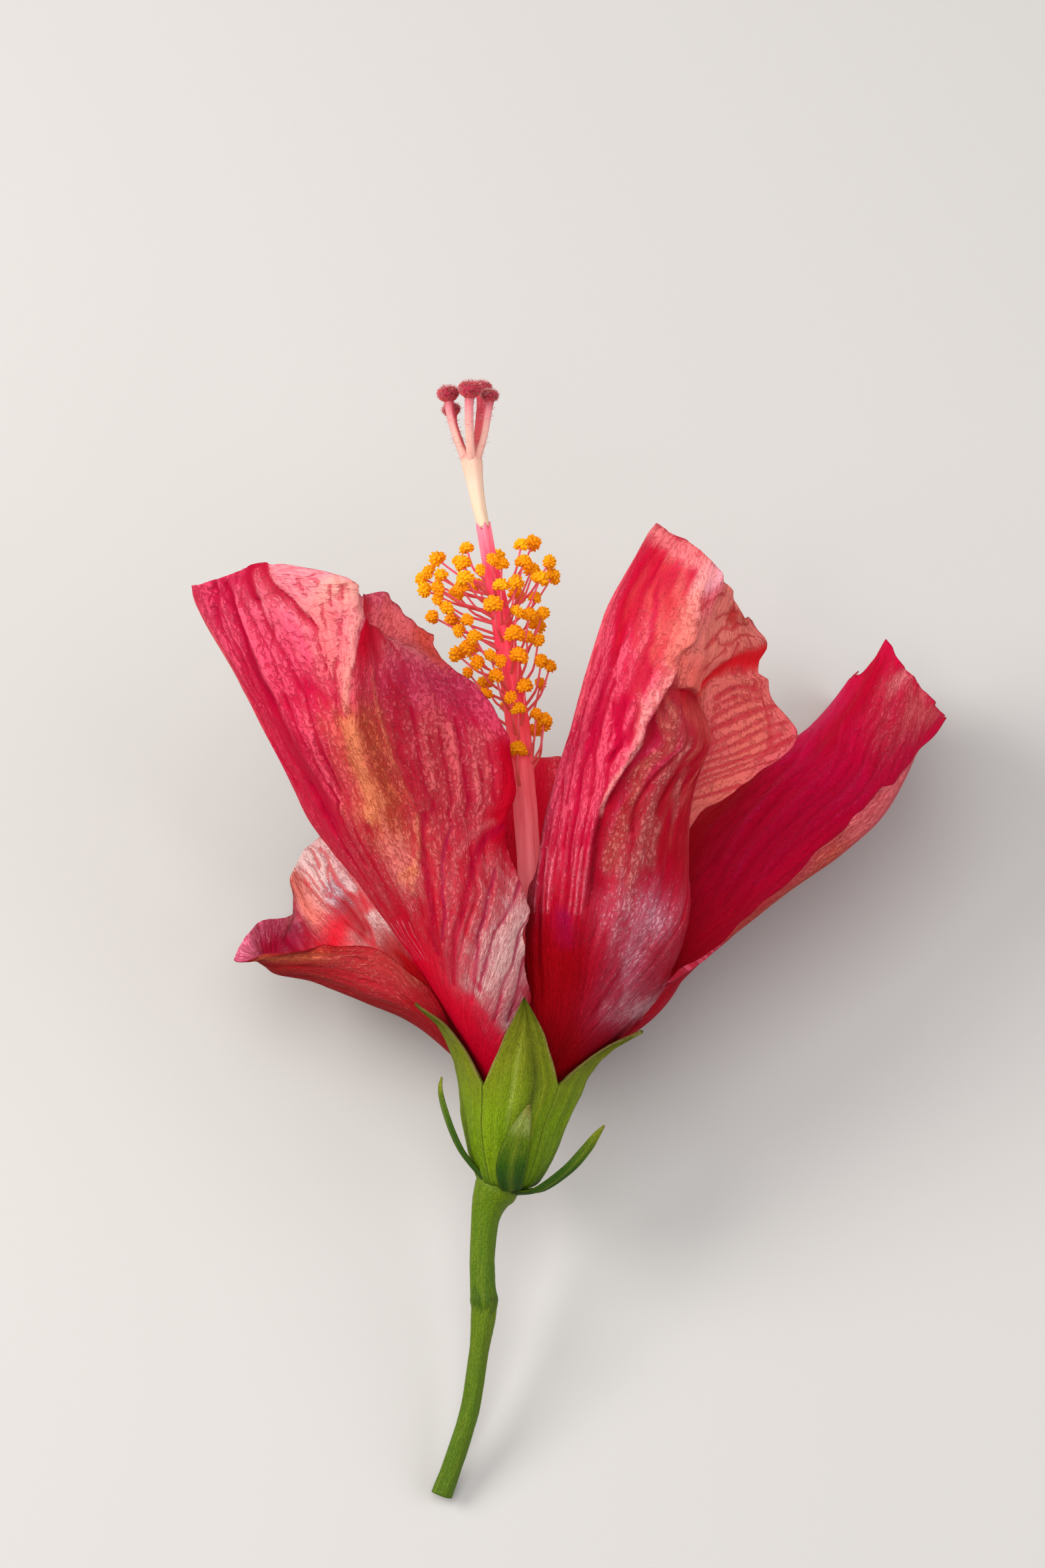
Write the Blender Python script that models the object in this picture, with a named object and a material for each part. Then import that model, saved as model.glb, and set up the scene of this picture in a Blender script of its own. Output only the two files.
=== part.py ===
"""A hibiscus flower as picked, lying on a flat surface.

The flower is modelled as it grows, in millimetres: +Z up the flower, +X to its right and +Y away from its
face, with the calyx's base at the origin. One empty then lays all of it down on its back petals and the cut
end of its stalk.
"""

import math

import bmesh
import bpy
import numpy as np

MM = 0.001

# How the flower lies: +Z of the growing flower leans this far up from the surface it rests on.
LEAN = math.radians(22.0)
# Where the calyx's base is when the flower lies down, in millimetres.
BASE_POINT = (-11.06, -31.02, 17.41)

# The line through the middle of the flower, from the calyx's floor to the mouth of the staminal column.
AXIS = [(2.2, 0, 0), (2.6, 0, 5), (3.0, 0, 9), (3.9, 0, 13.5), (5.2, 0, 24), (5.3, -0.2, 34),
        (4.7, -0.6, 45), (3.7, -1.0, 58), (2.5, -1.4, 68), (0.8, -1.8, 78), (-0.6, -2.1, 85),
        (-1.25, -2.2, 88.6)]
AXIS_STATIONS = 120

PETAL_THICKNESS = 0.5
# The compass angle from one petal to the next, and the angle that one petal's claw takes up in the calyx.
PETAL_TURN = 72.0
CLAW_SPREAD = 84.0
# Height, middle radius and how much further out the overlapping side is, for the two lowest rows of a petal.
CLAW_ROWS = ((3.5, 3.15, 1.0), (12.5, 5.2, 1.4))
PETAL_STEPS_ALONG = 17
PETAL_STEPS_ACROSS = 14
# How gently a petal bends where it comes to lie on the surface.
SETTLE_WIDTH = 0.6

# Each petal: its compass angle, then its rows from just above the calyx to the free edge. A row runs from
# the side that its neighbour covers to the side that covers the next petal.
PETALS = {
    "petal_front_left": (-128.0, [
        [(-3.8, 0.6, 24), (-5.8, -2.6, 24), (-6.0, -5.2, 24), (-5.4, -7.4, 24), (-4.0, -9.2, 24),
         (-2.2, -10.3, 24), (0.0, -10.8, 24), (2.2, -10.6, 24), (3.9, -9.8, 24), (4.8, -8.6, 24)],
        [(-9.6, 2.4, 36), (-14.0, -3.4, 36), (-13.4, -7.4, 36), (-12.0, -10.6, 36), (-10.0, -13.4, 36),
         (-7.4, -15.4, 36), (-3.8, -15.8, 36), (-0.6, -15.0, 36), (2.4, -13.6, 36), (5.0, -11.4, 36.5)],
        [(-17.0, 2.6, 48), (-22.8, -4.0, 48), (-21.8, -9.2, 48), (-20.0, -13.4, 48), (-17.6, -17.0, 48),
         (-14.4, -19.6, 48), (-10.2, -19.4, 48), (-6.0, -17.8, 48), (-2.0, -15.2, 48), (1.6, -12.2, 48)],
        [(-20.8, 2.2, 54), (-26.3, -4.6, 54), (-25.2, -10.2, 54), (-23.0, -14.8, 54), (-20.0, -18.8, 54),
         (-16.2, -21.8, 54), (-11.8, -21.0, 54), (-7.0, -18.8, 54), (-2.0, -15.6, 54),
         (2.9, -12.4, 53.6)],
        [(-24.6, 1.4, 61), (-30.1, -5.4, 61), (-28.8, -11.6, 61), (-26.4, -17.0, 61), (-23.0, -21.6, 61),
         (-18.4, -25.2, 61), (-13.6, -23.6, 61.2), (-8.4, -20.2, 61.5), (-3.0, -16.2, 61.5),
         (1.6, -12.6, 60.6)],
        [(-29.0, 0.2, 69), (-34.2, -6.6, 69), (-32.4, -13.2, 69), (-29.0, -18.8, 69), (-24.4, -23.8, 69),
         (-18.0, -28.0, 69), (-14.4, -26.0, 69.2), (-10.6, -22.4, 68.8), (-6.6, -18.2, 68),
         (-2.0, -13.8, 66.8)],
        [(-33.0, -1.6, 75), (-37.8, -8.0, 75.2), (-35.0, -14.6, 76), (-30.8, -20.4, 76.4),
         (-25.2, -25.4, 76.2), (-17.8, -29.4, 75.4), (-15.4, -26.6, 74.6), (-12.2, -22.0, 72.9),
         (-8.6, -17.6, 71.0), (-4.4, -13.4, 69.2)],
        [(-35.4, -3.0, 78), (-39.6, -9.2, 79.0), (-36.0, -15.6, 80.0), (-31.4, -21.8, 80.8),
         (-25.6, -26.6, 80.4), (-17.8, -29.6, 78.4), (-17.0, -20.0, 74.4), (-13.8, -15.8, 73.8),
         (-10.4, -13.0, 73.0), (-6.4, -11.4, 71.4)],
        [(-36.4, -4.0, 80), (-40.2, -9.8, 80.8), (-36.2, -16.2, 81.8), (-30.6, -22.6, 83.2),
         (-25.6, -27.0, 82.8), (-17.8, -30.0, 80.8), (-17.6, -17.0, 79.2), (-14.2, -12.4, 79.5),
         (-11.1, -9.8, 76.7), (-8.1, -9.4, 73.9)],
    ]),
    "petal_front_right": (-56.0, [
        [(3.4, -5.8, 24), (4.9, -7.4, 24), (6.9, -8.4, 24), (9.0, -9.0, 24), (11.0, -9.2, 24),
         (13.6, -9.0, 24), (16.2, -8.0, 24), (18.4, -6.4, 24), (19.8, -4.6, 24), (20.4, -3.0, 24),
         (20.4, -1.6, 24)],
        [(4.6, -5.0, 36), (5.6, -8.4, 36), (7.4, -11.0, 36), (9.6, -12.8, 36), (12.2, -13.4, 36),
         (16.4, -13.0, 36), (20.6, -11.4, 36), (23.8, -8.8, 36), (25.6, -5.6, 36), (26.0, -3.8, 36),
         (25.8, -2.2, 36)],
        [(7.4, -2.8, 48), (7.1, -7.8, 48), (8.8, -12.2, 48), (11.2, -15.2, 48), (14.0, -16.6, 48),
         (18.8, -15.6, 48), (23.0, -13.0, 48), (25.4, -9.8, 48), (26.0, -6.8, 48), (25.6, -4.0, 48),
         (26.6, -2.0, 49)],
        [(9.4, -2.4, 54), (8.6, -8.0, 54), (10.4, -13.0, 54), (13.2, -16.4, 54), (16.4, -18.0, 54),
         (21.2, -16.4, 54), (25.0, -13.2, 54), (26.6, -10.0, 54), (26.2, -7.0, 53.8), (28.4, -4.0, 53.4),
         (32.6, -1.8, 53.8)],
        [(11.6, -2.2, 60), (10.2, -8.4, 60), (12.0, -13.8, 60), (15.4, -17.6, 60), (19.4, -19.4, 60),
         (24.6, -17.0, 60), (28.0, -13.2, 60), (28.6, -10.0, 60), (27.6, -7.0, 60), (32.4, -3.6, 59.2),
         (39.6, -0.4, 60)],
        [(14.0, -2.4, 67), (12.2, -8.8, 67), (14.2, -14.8, 67), (17.8, -18.8, 67), (22.8, -21.0, 67),
         (26.2, -18.6, 67), (27.2, -15.0, 67), (27.4, -11.8, 67), (28.6, -8.8, 66.6), (32.6, -5.6, 66),
         (37.4, -2.8, 65.8)],
        [(16.4, -3.0, 73), (13.8, -9.4, 73), (16.0, -15.4, 73), (20.0, -19.8, 73), (25.6, -22.2, 72.8),
         (28.0, -19.2, 72.4), (28.8, -15.8, 72), (29.6, -12.8, 71.6), (31.4, -10.2, 71.2),
         (34.0, -8.2, 71.2), (37.0, -6.6, 72)],
        [(18.6, -4.4, 79), (16.0, -10.2, 79), (18.2, -15.8, 79.2), (22.0, -20.0, 79.2),
         (26.8, -22.6, 78.6), (28.6, -20.2, 77.6), (29.4, -17.2, 76.8), (30.4, -14.8, 76.2),
         (31.8, -12.8, 75.6), (33.4, -11.2, 75), (35.2, -9.8, 74.6)],
        [(20.0, -6.0, 84), (21.2, -12.2, 89.0), (23.2, -16.2, 87.6), (25.6, -19.6, 86.2),
         (28.4, -21.6, 83.8), (30.0, -20.6, 81.4), (30.8, -18.6, 80.2), (31.6, -16.6, 79.2),
         (32.4, -14.8, 78), (33.2, -13.2, 76.8), (34.4, -11.8, 75.8)],
    ]),
    "petal_right": (16.0, [
        [(15.4, -2.2, 24.2), (18.4, -1.0, 23.8), (20.8, 0.8, 23.0), (22.0, 3.8, 23.2), (21.6, 7.0, 24.2),
         (19.6, 9.8, 25.0), (16.8, 11.6, 25.2), (14.4, 12.4, 25.2)],
        [(27.0, 1.0, 30.2), (27.4, 3.4, 29.9), (27.8, 6.0, 30.2), (28.0, 9.8, 31.6), (27.0, 13.4, 33.8),
         (24.8, 17.0, 35.8), (22.0, 19.4, 36.8), (19.2, 20.4, 36.2)],
        [(36.8, 0.8, 38.2), (37.6, 4.2, 38.2), (38.0, 8.2, 38.5), (37.0, 12.8, 39.8), (34.6, 17.6, 42.0),
         (31.4, 22.2, 44.8), (28.6, 27.6, 46.4), (26.4, 31.8, 44.4)],
        [(45.4, 1.8, 46.4), (47.0, 5.2, 44.9), (47.4, 9.8, 45.6), (45.8, 14.8, 47.8), (43.0, 20.0, 50.4),
         (39.6, 25.2, 53.4), (36.8, 31.4, 55.0), (34.6, 37.4, 52.2)],
        [(51.4, 3.2, 52.0), (53.2, 6.6, 50.4), (53.4, 11.4, 51.2), (51.9, 16.6, 53.3), (49.0, 22.0, 55.8),
         (45.7, 27.4, 58.6), (42.8, 34.2, 60.0), (41.0, 41.4, 56.2)],
        [(56.4, 5.2, 58.2), (57.2, 8.8, 57.8), (57.6, 13.6, 58.4), (56.0, 18.8, 60.4), (53.2, 24.0, 62.8),
         (50.0, 29.6, 65.2), (47.2, 36.6, 65.2), (46.0, 44.2, 61.0)],
        [(61.8, 7.4, 63.4), (61.2, 11.4, 64.4), (60.3, 16.0, 66.2), (59.0, 20.6, 68.5),
         (57.0, 25.4, 71.2), (54.9, 30.4, 74.8), (51.6, 37.6, 71.2), (49.6, 45.6, 65.2)],
    ]),
    "petal_back": (88.0, [
        [(13.6, 9.0, 24.5), (10.8, 10.5, 24), (8.0, 11.5, 24), (4.8, 11.9, 24), (1.6, 11.8, 24),
         (-1.4, 11.4, 24), (-4.0, 10.8, 24)],
        [(18.2, 15.6, 36), (14.4, 17.2, 36), (10.0, 18.6, 36.5), (5.0, 19.1, 37), (0.0, 18.9, 36.5),
         (-4.6, 18.4, 36), (-8.8, 18.2, 35)],
        [(23.0, 23.6, 43.5), (17.6, 26.0, 45), (11.6, 27.8, 46), (5.2, 28.6, 46.5), (-1.4, 28.2, 46),
         (-7.8, 27.6, 45), (-13.4, 27.4, 43)],
        [(26.6, 31.0, 48), (20.4, 33.2, 50.4), (13.4, 34.8, 52.2), (5.8, 35.2, 53.2), (-2.4, 35.0, 53),
         (-10.0, 34.2, 51.4), (-16.6, 33.8, 48)],
        [(29.4, 35.4, 51.5), (22.6, 37.4, 55), (14.6, 38.0, 57), (6.0, 38.4, 58), (-3.0, 38.4, 58.2),
         (-12.0, 37.8, 56.6), (-19.6, 37.0, 52.6)],
        [(30.2, 39.8, 50.6), (23.8, 41.4, 54.4), (15.0, 42.2, 56.4), (6.0, 42.6, 57.4),
         (-3.4, 42.6, 57.6), (-13.0, 42.0, 56), (-20.6, 40.4, 51.8)],
    ]),
    "petal_left": (160.0, [
        [(-1.2, 8.4, 22.8), (-3.6, 7.6, 21.8), (-6.0, 6.0, 20.7), (-7.9, 3.6, 20.3), (-8.6, 1.0, 20.6),
         (-8.6, -1.6, 21.5), (-8.5, -4.2, 23.2), (-7.8, -5.7, 25.4)],
        [(-4.6, 13.4, 32.4), (-8.2, 13.2, 30.2), (-11.6, 12.4, 27.6), (-14.4, 10.2, 25.6),
         (-16.4, 6.6, 24.8), (-17.0, 2.2, 25.0), (-16.4, -2.0, 27.2), (-13.8, -5.2, 31.4)],
        [(-9.0, 21.4, 41.6), (-13.6, 21.2, 38.6), (-17.6, 20.2, 34.8), (-21.0, 18.2, 30.6),
         (-23.4, 13.2, 28.0), (-24.2, 7.6, 27.5), (-23.8, 2.4, 29.2), (-21.8, -2.4, 32.0)],
        [(-13.6, 28.4, 48.2), (-19.0, 29.4, 44.6), (-23.2, 28.4, 40.4), (-26.8, 25.4, 35.8),
         (-29.2, 19.8, 31.8), (-30.4, 13.2, 29.2), (-30.4, 7.4, 29.3), (-29.0, 2.4, 31.8)],
        [(-17.2, 33.0, 51.6), (-22.8, 34.4, 48.2), (-26.9, 32.6, 44.8), (-28.9, 28.0, 40.4),
         (-28.2, 23.0, 36.2), (-32.2, 16.0, 35.4), (-34.8, 10.4, 32.0), (-36.0, 6.0, 29.1)],
    ]),
}

# The calyx cup: height and outer radius of its rings. Each lobe stands at a compass angle on the cup's rim,
# and its tip has a compass angle, a height and a distance from the axis.
CALYX_WALL = 0.6
CALYX_RINGS = ((0.0, 2.5), (0.5, 3.2), (1.3, 3.8), (3.0, 4.8), (5.2, 5.8), (8.6, 6.9), (11.4, 7.8),
               (14.0, 8.5))
CALYX_LOBES = {-92.0: (-95.0, 25.6, 12.8), -20.0: (-20.0, 21.0, 16.0), 52.0: (50.0, 22.5, 19.5),
               124.0: (124.0, 23.0, 18.5), 196.0: (206.0, 24.8, 18.2)}
LOBE_COLUMNS = 6
LOBE_ROWS = 5

# The stalk: points down its middle, each with its radius. It swells at the joint.
STALK = [(2.2, 0, -0.35, 2.1), (2.1, 0, -1.0, 2.15), (1.5, 0, -2.2, 2.1), (0.3, 0, -4.0, 1.9),
         (-0.6, 0, -6.2, 1.75), (-1.4, 0, -10.0, 1.7), (-1.6, 0, -13.5, 1.75), (-1.6, 0, -15.4, 1.95),
         (-1.6, 0, -17.4, 1.6), (-2.0, 0, -23.0, 1.55), (-3.2, 0, -30.0, 1.6), (-5.0, 0.1, -36.0, 1.65),
         (-7.0, 0.25, -41.6, 1.75)]
STALK_STATIONS = 26
STALK_SIDES = 10

# Each bract: points from its foot to its tip, and half its width where it is widest.
BRACTS = {
    "bract_left": ([(-0.9, -1.7, -0.1), (-3.1, -2.5, 2.6), (-5.2, -3.0, 6.3), (-6.7, -3.2, 10.0),
                    (-7.1, -3.2, 12.8), (-6.9, -3.0, 15.0)], 0.9),
    "bract_front": ([(2.4, -3.5, -0.1), (2.4, -6.3, 2.8), (3.3, -8.2, 6.8), (4.9, -9.4, 11.7)], 1.7),
    "bract_right": ([(5.0, -2.1, -0.2), (7.8, -2.5, 0.4), (10.1, -2.8, 2.3), (11.9, -2.9, 4.7),
                     (13.2, -2.9, 7.0), (15.0, -2.9, 8.5)], 0.8),
    "bract_back_right": ([(4.2, 2.9, -0.2), (6.1, 5.8, 2.2), (7.6, 8.0, 6.6), (8.0, 9.6, 11.6)], 1.1),
    "bract_back": ([(1.8, 3.5, -0.1), (1.2, 7.0, 2.6), (1.0, 9.2, 6.8), (0.6, 10.6, 12.2)], 1.2),
    "bract_back_left": ([(0.2, 2.9, -0.1), (-1.4, 5.7, 2.6), (-2.4, 7.8, 6.8), (-2.8, 8.8, 12.4)], 1.1),
}
BRACT_HALF_THICKNESS = 0.32
BRACT_TIP_HALF_WIDTH = 0.12
BRACT_STATIONS = 8
BRACT_SIDES = 6

# The staminal column: height and radius.
COLUMN_RADII = ((1.0, 1.9), (4.0, 1.9), (9.0, 1.8), (20, 1.75), (45, 1.45), (60, 1.45), (72, 1.3), (80, 1.1),
                (86, 0.95), (88.6, 0.9))
COLUMN_STATIONS = 15
COLUMN_SIDES = 10

# The style stands on the column's mouth and parts into five branches, each under its own stigma.
STYLE = [(-1.3, -2.2, 88.95, 0.72), (-2.0, -2.3, 92.0, 0.82), (-2.5, -2.4, 95.0, 0.95),
         (-2.85, -2.5, 97.5, 1.2), (-3.0, -2.5, 98.6, 1.0)]
STYLE_BRANCHES = {
    "left": [(-3.4, -2.6, 97.4), (-4.7, -2.9, 100.6), (-5.6, -3.2, 104.0), (-5.8, -3.3, 106.0)],
    "back_left": [(-3.3, -1.9, 97.4), (-4.5, -0.6, 99.8), (-5.8, 0.2, 102.6), (-6.2, 0.4, 104.4)],
    "front": [(-2.9, -3.0, 97.4), (-3.0, -4.4, 100.6), (-3.05, -5.6, 104.2), (-2.9, -6.1, 106.4)],
    "back_right": [(-2.6, -1.9, 97.4), (-1.9, -0.4, 101.0), (-1.6, 0.9, 105.0), (-1.6, 1.2, 107.2)],
    "right": [(-2.5, -2.6, 97.4), (-1.4, -3.1, 100.8), (-0.8, -3.3, 104.0), (-0.5, -3.4, 105.8)],
}
STYLE_STATIONS = 9
STYLE_SIDES = 10
BRANCH_RADIUS = 0.48
BRANCH_STATIONS = 5
BRANCH_SIDES = 7
# A stigma's outline: each ring's share of its height and of its radius.
STIGMA_RADIUS = 1.5
STIGMA_HEIGHT = 1.5
STIGMA_OUTLINE = ((0.1, 0.75), (0.3, 1.0), (0.6, 0.95), (0.85, 0.65), (1.0, 0.2))

# Where the pollen sacs of the named stamens are: the face side as it shows, and the back filled in.
ANTHERS = [
    (-3.6, -1.5, 86.2), (-4.1, -5.2, 84.0), (-0.1, -7.2, 84.4), (3.8, -1.8, 86.6), (4.1, -4.6, 84.2),
    (7.6, -0.5, 84.3), (6.4, -3.9, 82.0), (-8.7, -2.5, 83.0), (-9.2, -2.6, 80.5), (-7.4, -6.4, 80.7),
    (-3.7, -7.9, 81.9), (-4.9, -3.8, 79.9), (-6.2, -5.4, 78.0), (-8.2, -1.6, 76.9), (1.1, -7.4, 81.0),
    (5.6, 0.2, 79.6), (6.7, -1.4, 77.4), (3.2, -6.6, 77.5), (0.0, -7.8, 78.4), (-3.5, -5.8, 76.4),
    (-4.6, -3.4, 75.0), (4.6, -3.0, 74.2), (-4.9, 0.3, 71.9), (1.0, -7.0, 70.9), (-3.4, -1.4, 69.4),
    (7.7, -0.6, 70.3), (4.3, -4.6, 67.6), (2.4, -6.0, 66.0), (6.9, -2.4, 63.0), (-1.2, -2.6, 66.4),
    (-4.8, 3.2, 84.6), (0.6, 5.4, 85.4), (5.2, 3.4, 83.4), (-7.4, 3.0, 80.6), (-2.2, 5.8, 81.4),
    (3.2, 5.8, 80.2), (-5.6, 4.6, 76.6), (0.8, 6.4, 76.6), (6.0, 3.2, 76.0), (-2.8, 4.4, 72.6),
    (3.2, 5.0, 72.0), (6.4, 2.8, 68.0), (-1.2, 3.6, 68.2), (2.2, 4.8, 65.2), (5.6, 2.0, 61.6),
]
FILAMENT_RADIUS = 0.2
# How far a filament bows away from the column at its middle, and how far it sags there.
FILAMENT_BOW = 0.5
FILAMENT_SAG = 0.4
# A pollen sac's outline: how far each ring is from its middle, and the ring's share of its radius.
ANTHER_RADIUS = 0.95
ANTHER_OUTLINE = ((-0.95, 0.35), (-0.5, 0.85), (0.0, 1.0), (0.5, 0.85), (0.95, 0.35))
STAMEN_SIDES = 6
# How far below its pollen sac a filament leaves the column, and how much lower for each millimetre to the
# right.
FILAMENT_DROP = 5.0
FILAMENT_DROP_SLOPE = 0.22

# The gap left between a filament and the column it grows from.
GAP = 0.3


def spline(points, count):
    """Points on a smooth curve through the given ones, or rows of a surface through the given rows."""
    points = np.asarray(points, float)
    ends = [2 * points[:1] - points[1:2], points, 2 * points[-1:] - points[-2:-1]]
    padded = np.concatenate(ends)
    place = np.linspace(0, len(points) - 1, count)
    first = np.minimum(place.astype(int), len(points) - 2)
    t = (place - first).reshape(-1, *[1] * (points.ndim - 1))
    a, b, c, d = (padded[first + i] for i in range(4))
    return 0.5 * (2 * b + (c - a) * t + (2 * a - 5 * b + 4 * c - d) * t**2 + (3 * b - a - 3 * c + d) * t**3)


def axis_at(height):
    """The middle of the flower at a height."""
    line = spline(AXIS, AXIS_STATIONS)
    return np.array([np.interp(height, line[:, 2], line[:, i]) for i in range(3)])


def around(height, angle, radius):
    """A point at a compass angle in degrees and a distance from the flower's axis."""
    turn = math.radians(angle)
    return axis_at(height) + radius * np.array([math.cos(turn), math.sin(turn), 0])


def unit(vectors):
    """The vectors at length one."""
    return vectors / np.linalg.norm(vectors, axis=-1, keepdims=True)


def material(name, colour, roughness):
    """A plain finish."""
    made = bpy.data.materials.new(name)
    made.use_nodes = True
    shader = made.node_tree.nodes["Principled BSDF"]
    shader.inputs["Base Color"].default_value = (*colour, 1.0)
    shader.inputs["Roughness"].default_value = roughness
    shader.inputs["Metallic"].default_value = 0.0
    return made


def add_object(name, points, faces, finish, pose):
    """A mesh object from points in millimetres in the growing flower, laid down by the pose empty."""
    mesh = bpy.data.meshes.new(name)
    mesh.from_pydata((np.asarray(points) * MM).tolist(), [], faces)
    mesh.materials.append(finish)
    mesh.validate()
    mesh.shade_smooth()
    made = bpy.data.objects.new(name, mesh)
    bpy.context.scene.collection.objects.link(made)
    made.parent = pose
    return made


def face_outwards(made):
    """Turns a closed mesh's faces outwards."""
    shape = bmesh.new()
    shape.from_mesh(made.data)
    bmesh.ops.recalc_face_normals(shape, faces=shape.faces)
    shape.to_mesh(made.data)
    shape.free()


def loft(path, across, half_widths, half_depths, sides):
    """Points and faces of a closed rod of oval rings along a path. Across is the way its width runs."""
    path = np.asarray(path, float)
    tangents = unit(np.gradient(path, axis=0))
    across = np.broadcast_to(np.asarray(across, float), path.shape)
    across = unit(across - (across * tangents).sum(1, keepdims=True) * tangents)
    depth = np.cross(tangents, across)
    turn = np.arange(sides) * 2 * math.pi / sides
    wide = np.asarray(half_widths)[:, None, None] * across[:, None] * np.cos(turn)[None, :, None]
    deep = np.asarray(half_depths)[:, None, None] * depth[:, None] * np.sin(turn)[None, :, None]
    points = (path[:, None] + wide + deep).reshape(-1, 3)
    faces = []
    for ring in range(len(path) - 1):
        for side in range(sides):
            low = ring * sides + side
            beside = ring * sides + (side + 1) % sides
            faces.append((low, beside, beside + sides, low + sides))
    last = (len(path) - 1) * sides
    faces.append(tuple(reversed(range(sides))))
    faces.append(tuple(last + side for side in range(sides)))
    return points, faces


def grid_faces(rows, columns):
    """Faces of a sheet of points laid out in rows."""
    corners = [(row * columns + column) for row in range(rows - 1) for column in range(columns - 1)]
    return [(low, low + 1, low + 1 + columns, low + columns) for low in corners]


def laid_on_surface(points, rest_height):
    """Points of a petal, lifted where they would pass through the surface that the flower lies on."""
    up = np.array([0, -math.cos(LEAN), math.sin(LEAN)])
    over = points @ up + BASE_POINT[2] - rest_height
    blend = np.clip((over + SETTLE_WIDTH) / (2 * SETTLE_WIDTH), 0, 1)
    settled = np.where(over > SETTLE_WIDTH, over, SETTLE_WIDTH * blend**2)
    return points + (settled - over)[..., None] * up


def petal_surface(angle, rows, along, across):
    """The middle of a petal as a sheet of points, from its claw in the calyx to its free edge."""
    share = np.linspace(0, 1, len(rows[0])) - 0.5
    claw = [
        [around(height, angle + CLAW_SPREAD * s, radius + step * s) for s in share]
        for height, radius, step in CLAW_ROWS
    ]
    net = np.array(claw + [list(map(np.array, row)) for row in rows], float)
    sheet = spline(net, along)
    sheet = spline(sheet.swapaxes(0, 1), across).swapaxes(0, 1)
    return laid_on_surface(sheet, PETAL_THICKNESS / 2)


def thicken(made, thickness, offset=0.0):
    """Gives a sheet its thickness."""
    shell = made.modifiers.new("thickness", "SOLIDIFY")
    shell.thickness = thickness * MM
    shell.offset = offset
    shell.use_rim = True


def make_petals(finish, pose):
    """The five petals, each its own sheet, wound so that each covers the next one's side."""
    for name, (angle, rows) in PETALS.items():
        sheet = petal_surface(angle, rows, PETAL_STEPS_ALONG, PETAL_STEPS_ACROSS)
        faces = grid_faces(PETAL_STEPS_ALONG, PETAL_STEPS_ACROSS)
        made = add_object(name, sheet.reshape(-1, 3), faces, finish, pose)
        thicken(made, PETAL_THICKNESS)


def lobe_point(lobe_angle, across, up):
    """A point on the outside of a calyx lobe: across is -1 to 1, and up is 0 at the rim to 1 at the tip."""
    rim_height, rim_radius = CALYX_RINGS[-1]
    tip_angle, tip_height, tip_radius = CALYX_LOBES[lobe_angle]
    height = rim_height + (tip_height - rim_height) * up
    radius = rim_radius + (tip_radius - rim_radius) * up
    middle = lobe_angle + (tip_angle - lobe_angle) * up
    return around(height, middle + across * PETAL_TURN / 2 * (1 - up), radius)


def make_calyx(finish, pose):
    """The green cup: five pointed lobes that stand on one ring, over a closed floor."""
    columns = LOBE_COLUMNS * len(CALYX_LOBES)
    start = min(CALYX_LOBES) - PETAL_TURN / 2
    angles = start + np.arange(columns) * PETAL_TURN / LOBE_COLUMNS
    shape = bmesh.new()
    rings = [
        [shape.verts.new(around(height, angle, radius)) for angle in angles]
        for height, radius in CALYX_RINGS
    ]
    for low, high in zip(rings, rings[1:]):
        for i in range(columns):
            beside = (i + 1) % columns
            shape.faces.new((low[i], low[beside], high[beside], high[i]))
    foot = shape.verts.new(around(0, 0, 0))
    for i in range(columns):
        shape.faces.new((foot, rings[0][(i + 1) % columns], rings[0][i]))
    for number, lobe_angle in enumerate(CALYX_LOBES):
        first = number * LOBE_COLUMNS
        row = [rings[-1][(first + i) % columns] for i in range(LOBE_COLUMNS + 1)]
        for step in range(1, LOBE_ROWS):
            spread = np.linspace(-1, 1, LOBE_COLUMNS + 1)
            above = [shape.verts.new(lobe_point(lobe_angle, across, step / LOBE_ROWS)) for across in spread]
            for i in range(LOBE_COLUMNS):
                shape.faces.new((row[i], row[i + 1], above[i + 1], above[i]))
            row = above
        tip = shape.verts.new(lobe_point(lobe_angle, 0, 1))
        for i in range(LOBE_COLUMNS):
            shape.faces.new((row[i], row[i + 1], tip))
    for vertex in shape.verts:
        vertex.co *= MM
    mesh = bpy.data.meshes.new("calyx")
    shape.to_mesh(mesh)
    shape.free()
    mesh.materials.append(finish)
    mesh.shade_smooth()
    made = bpy.data.objects.new("calyx", mesh)
    bpy.context.scene.collection.objects.link(made)
    made.parent = pose
    thicken(made, CALYX_WALL, offset=-1.0)


def make_stalk(finish, pose):
    """The flower's stalk with its joint, cut square across at its foot."""
    line = spline(STALK, STALK_STATIONS)
    points, faces = loft(line[:, :3], (1, 0, 0), line[:, 3], line[:, 3], STALK_SIDES)
    face_outwards(add_object("pedicel", points, faces, finish, pose))


def make_bracts(finish, pose):
    """The ring of narrow leaves under the calyx."""
    for name, (route, half_width) in BRACTS.items():
        line = spline(route, BRACT_STATIONS)
        share = np.linspace(0, 1, len(line))
        # Swells from its foot to about its middle and then narrows to its tip.
        widths = half_width * (0.55 + 1.5 * share) * (1 - share**1.6) + BRACT_TIP_HALF_WIDTH
        depths = BRACT_HALF_THICKNESS * (1 - 0.6 * share)
        outwards = line[0] - axis_at(line[0][2])
        across = np.cross((0, 0, 1), outwards)
        points, faces = loft(line, across, widths, depths, BRACT_SIDES)
        face_outwards(add_object(name, points, faces, finish, pose))


def column_radius(height):
    """The staminal column's radius at a height."""
    heights, radii = np.array(COLUMN_RADII).T
    return np.interp(height, heights, radii)


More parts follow.
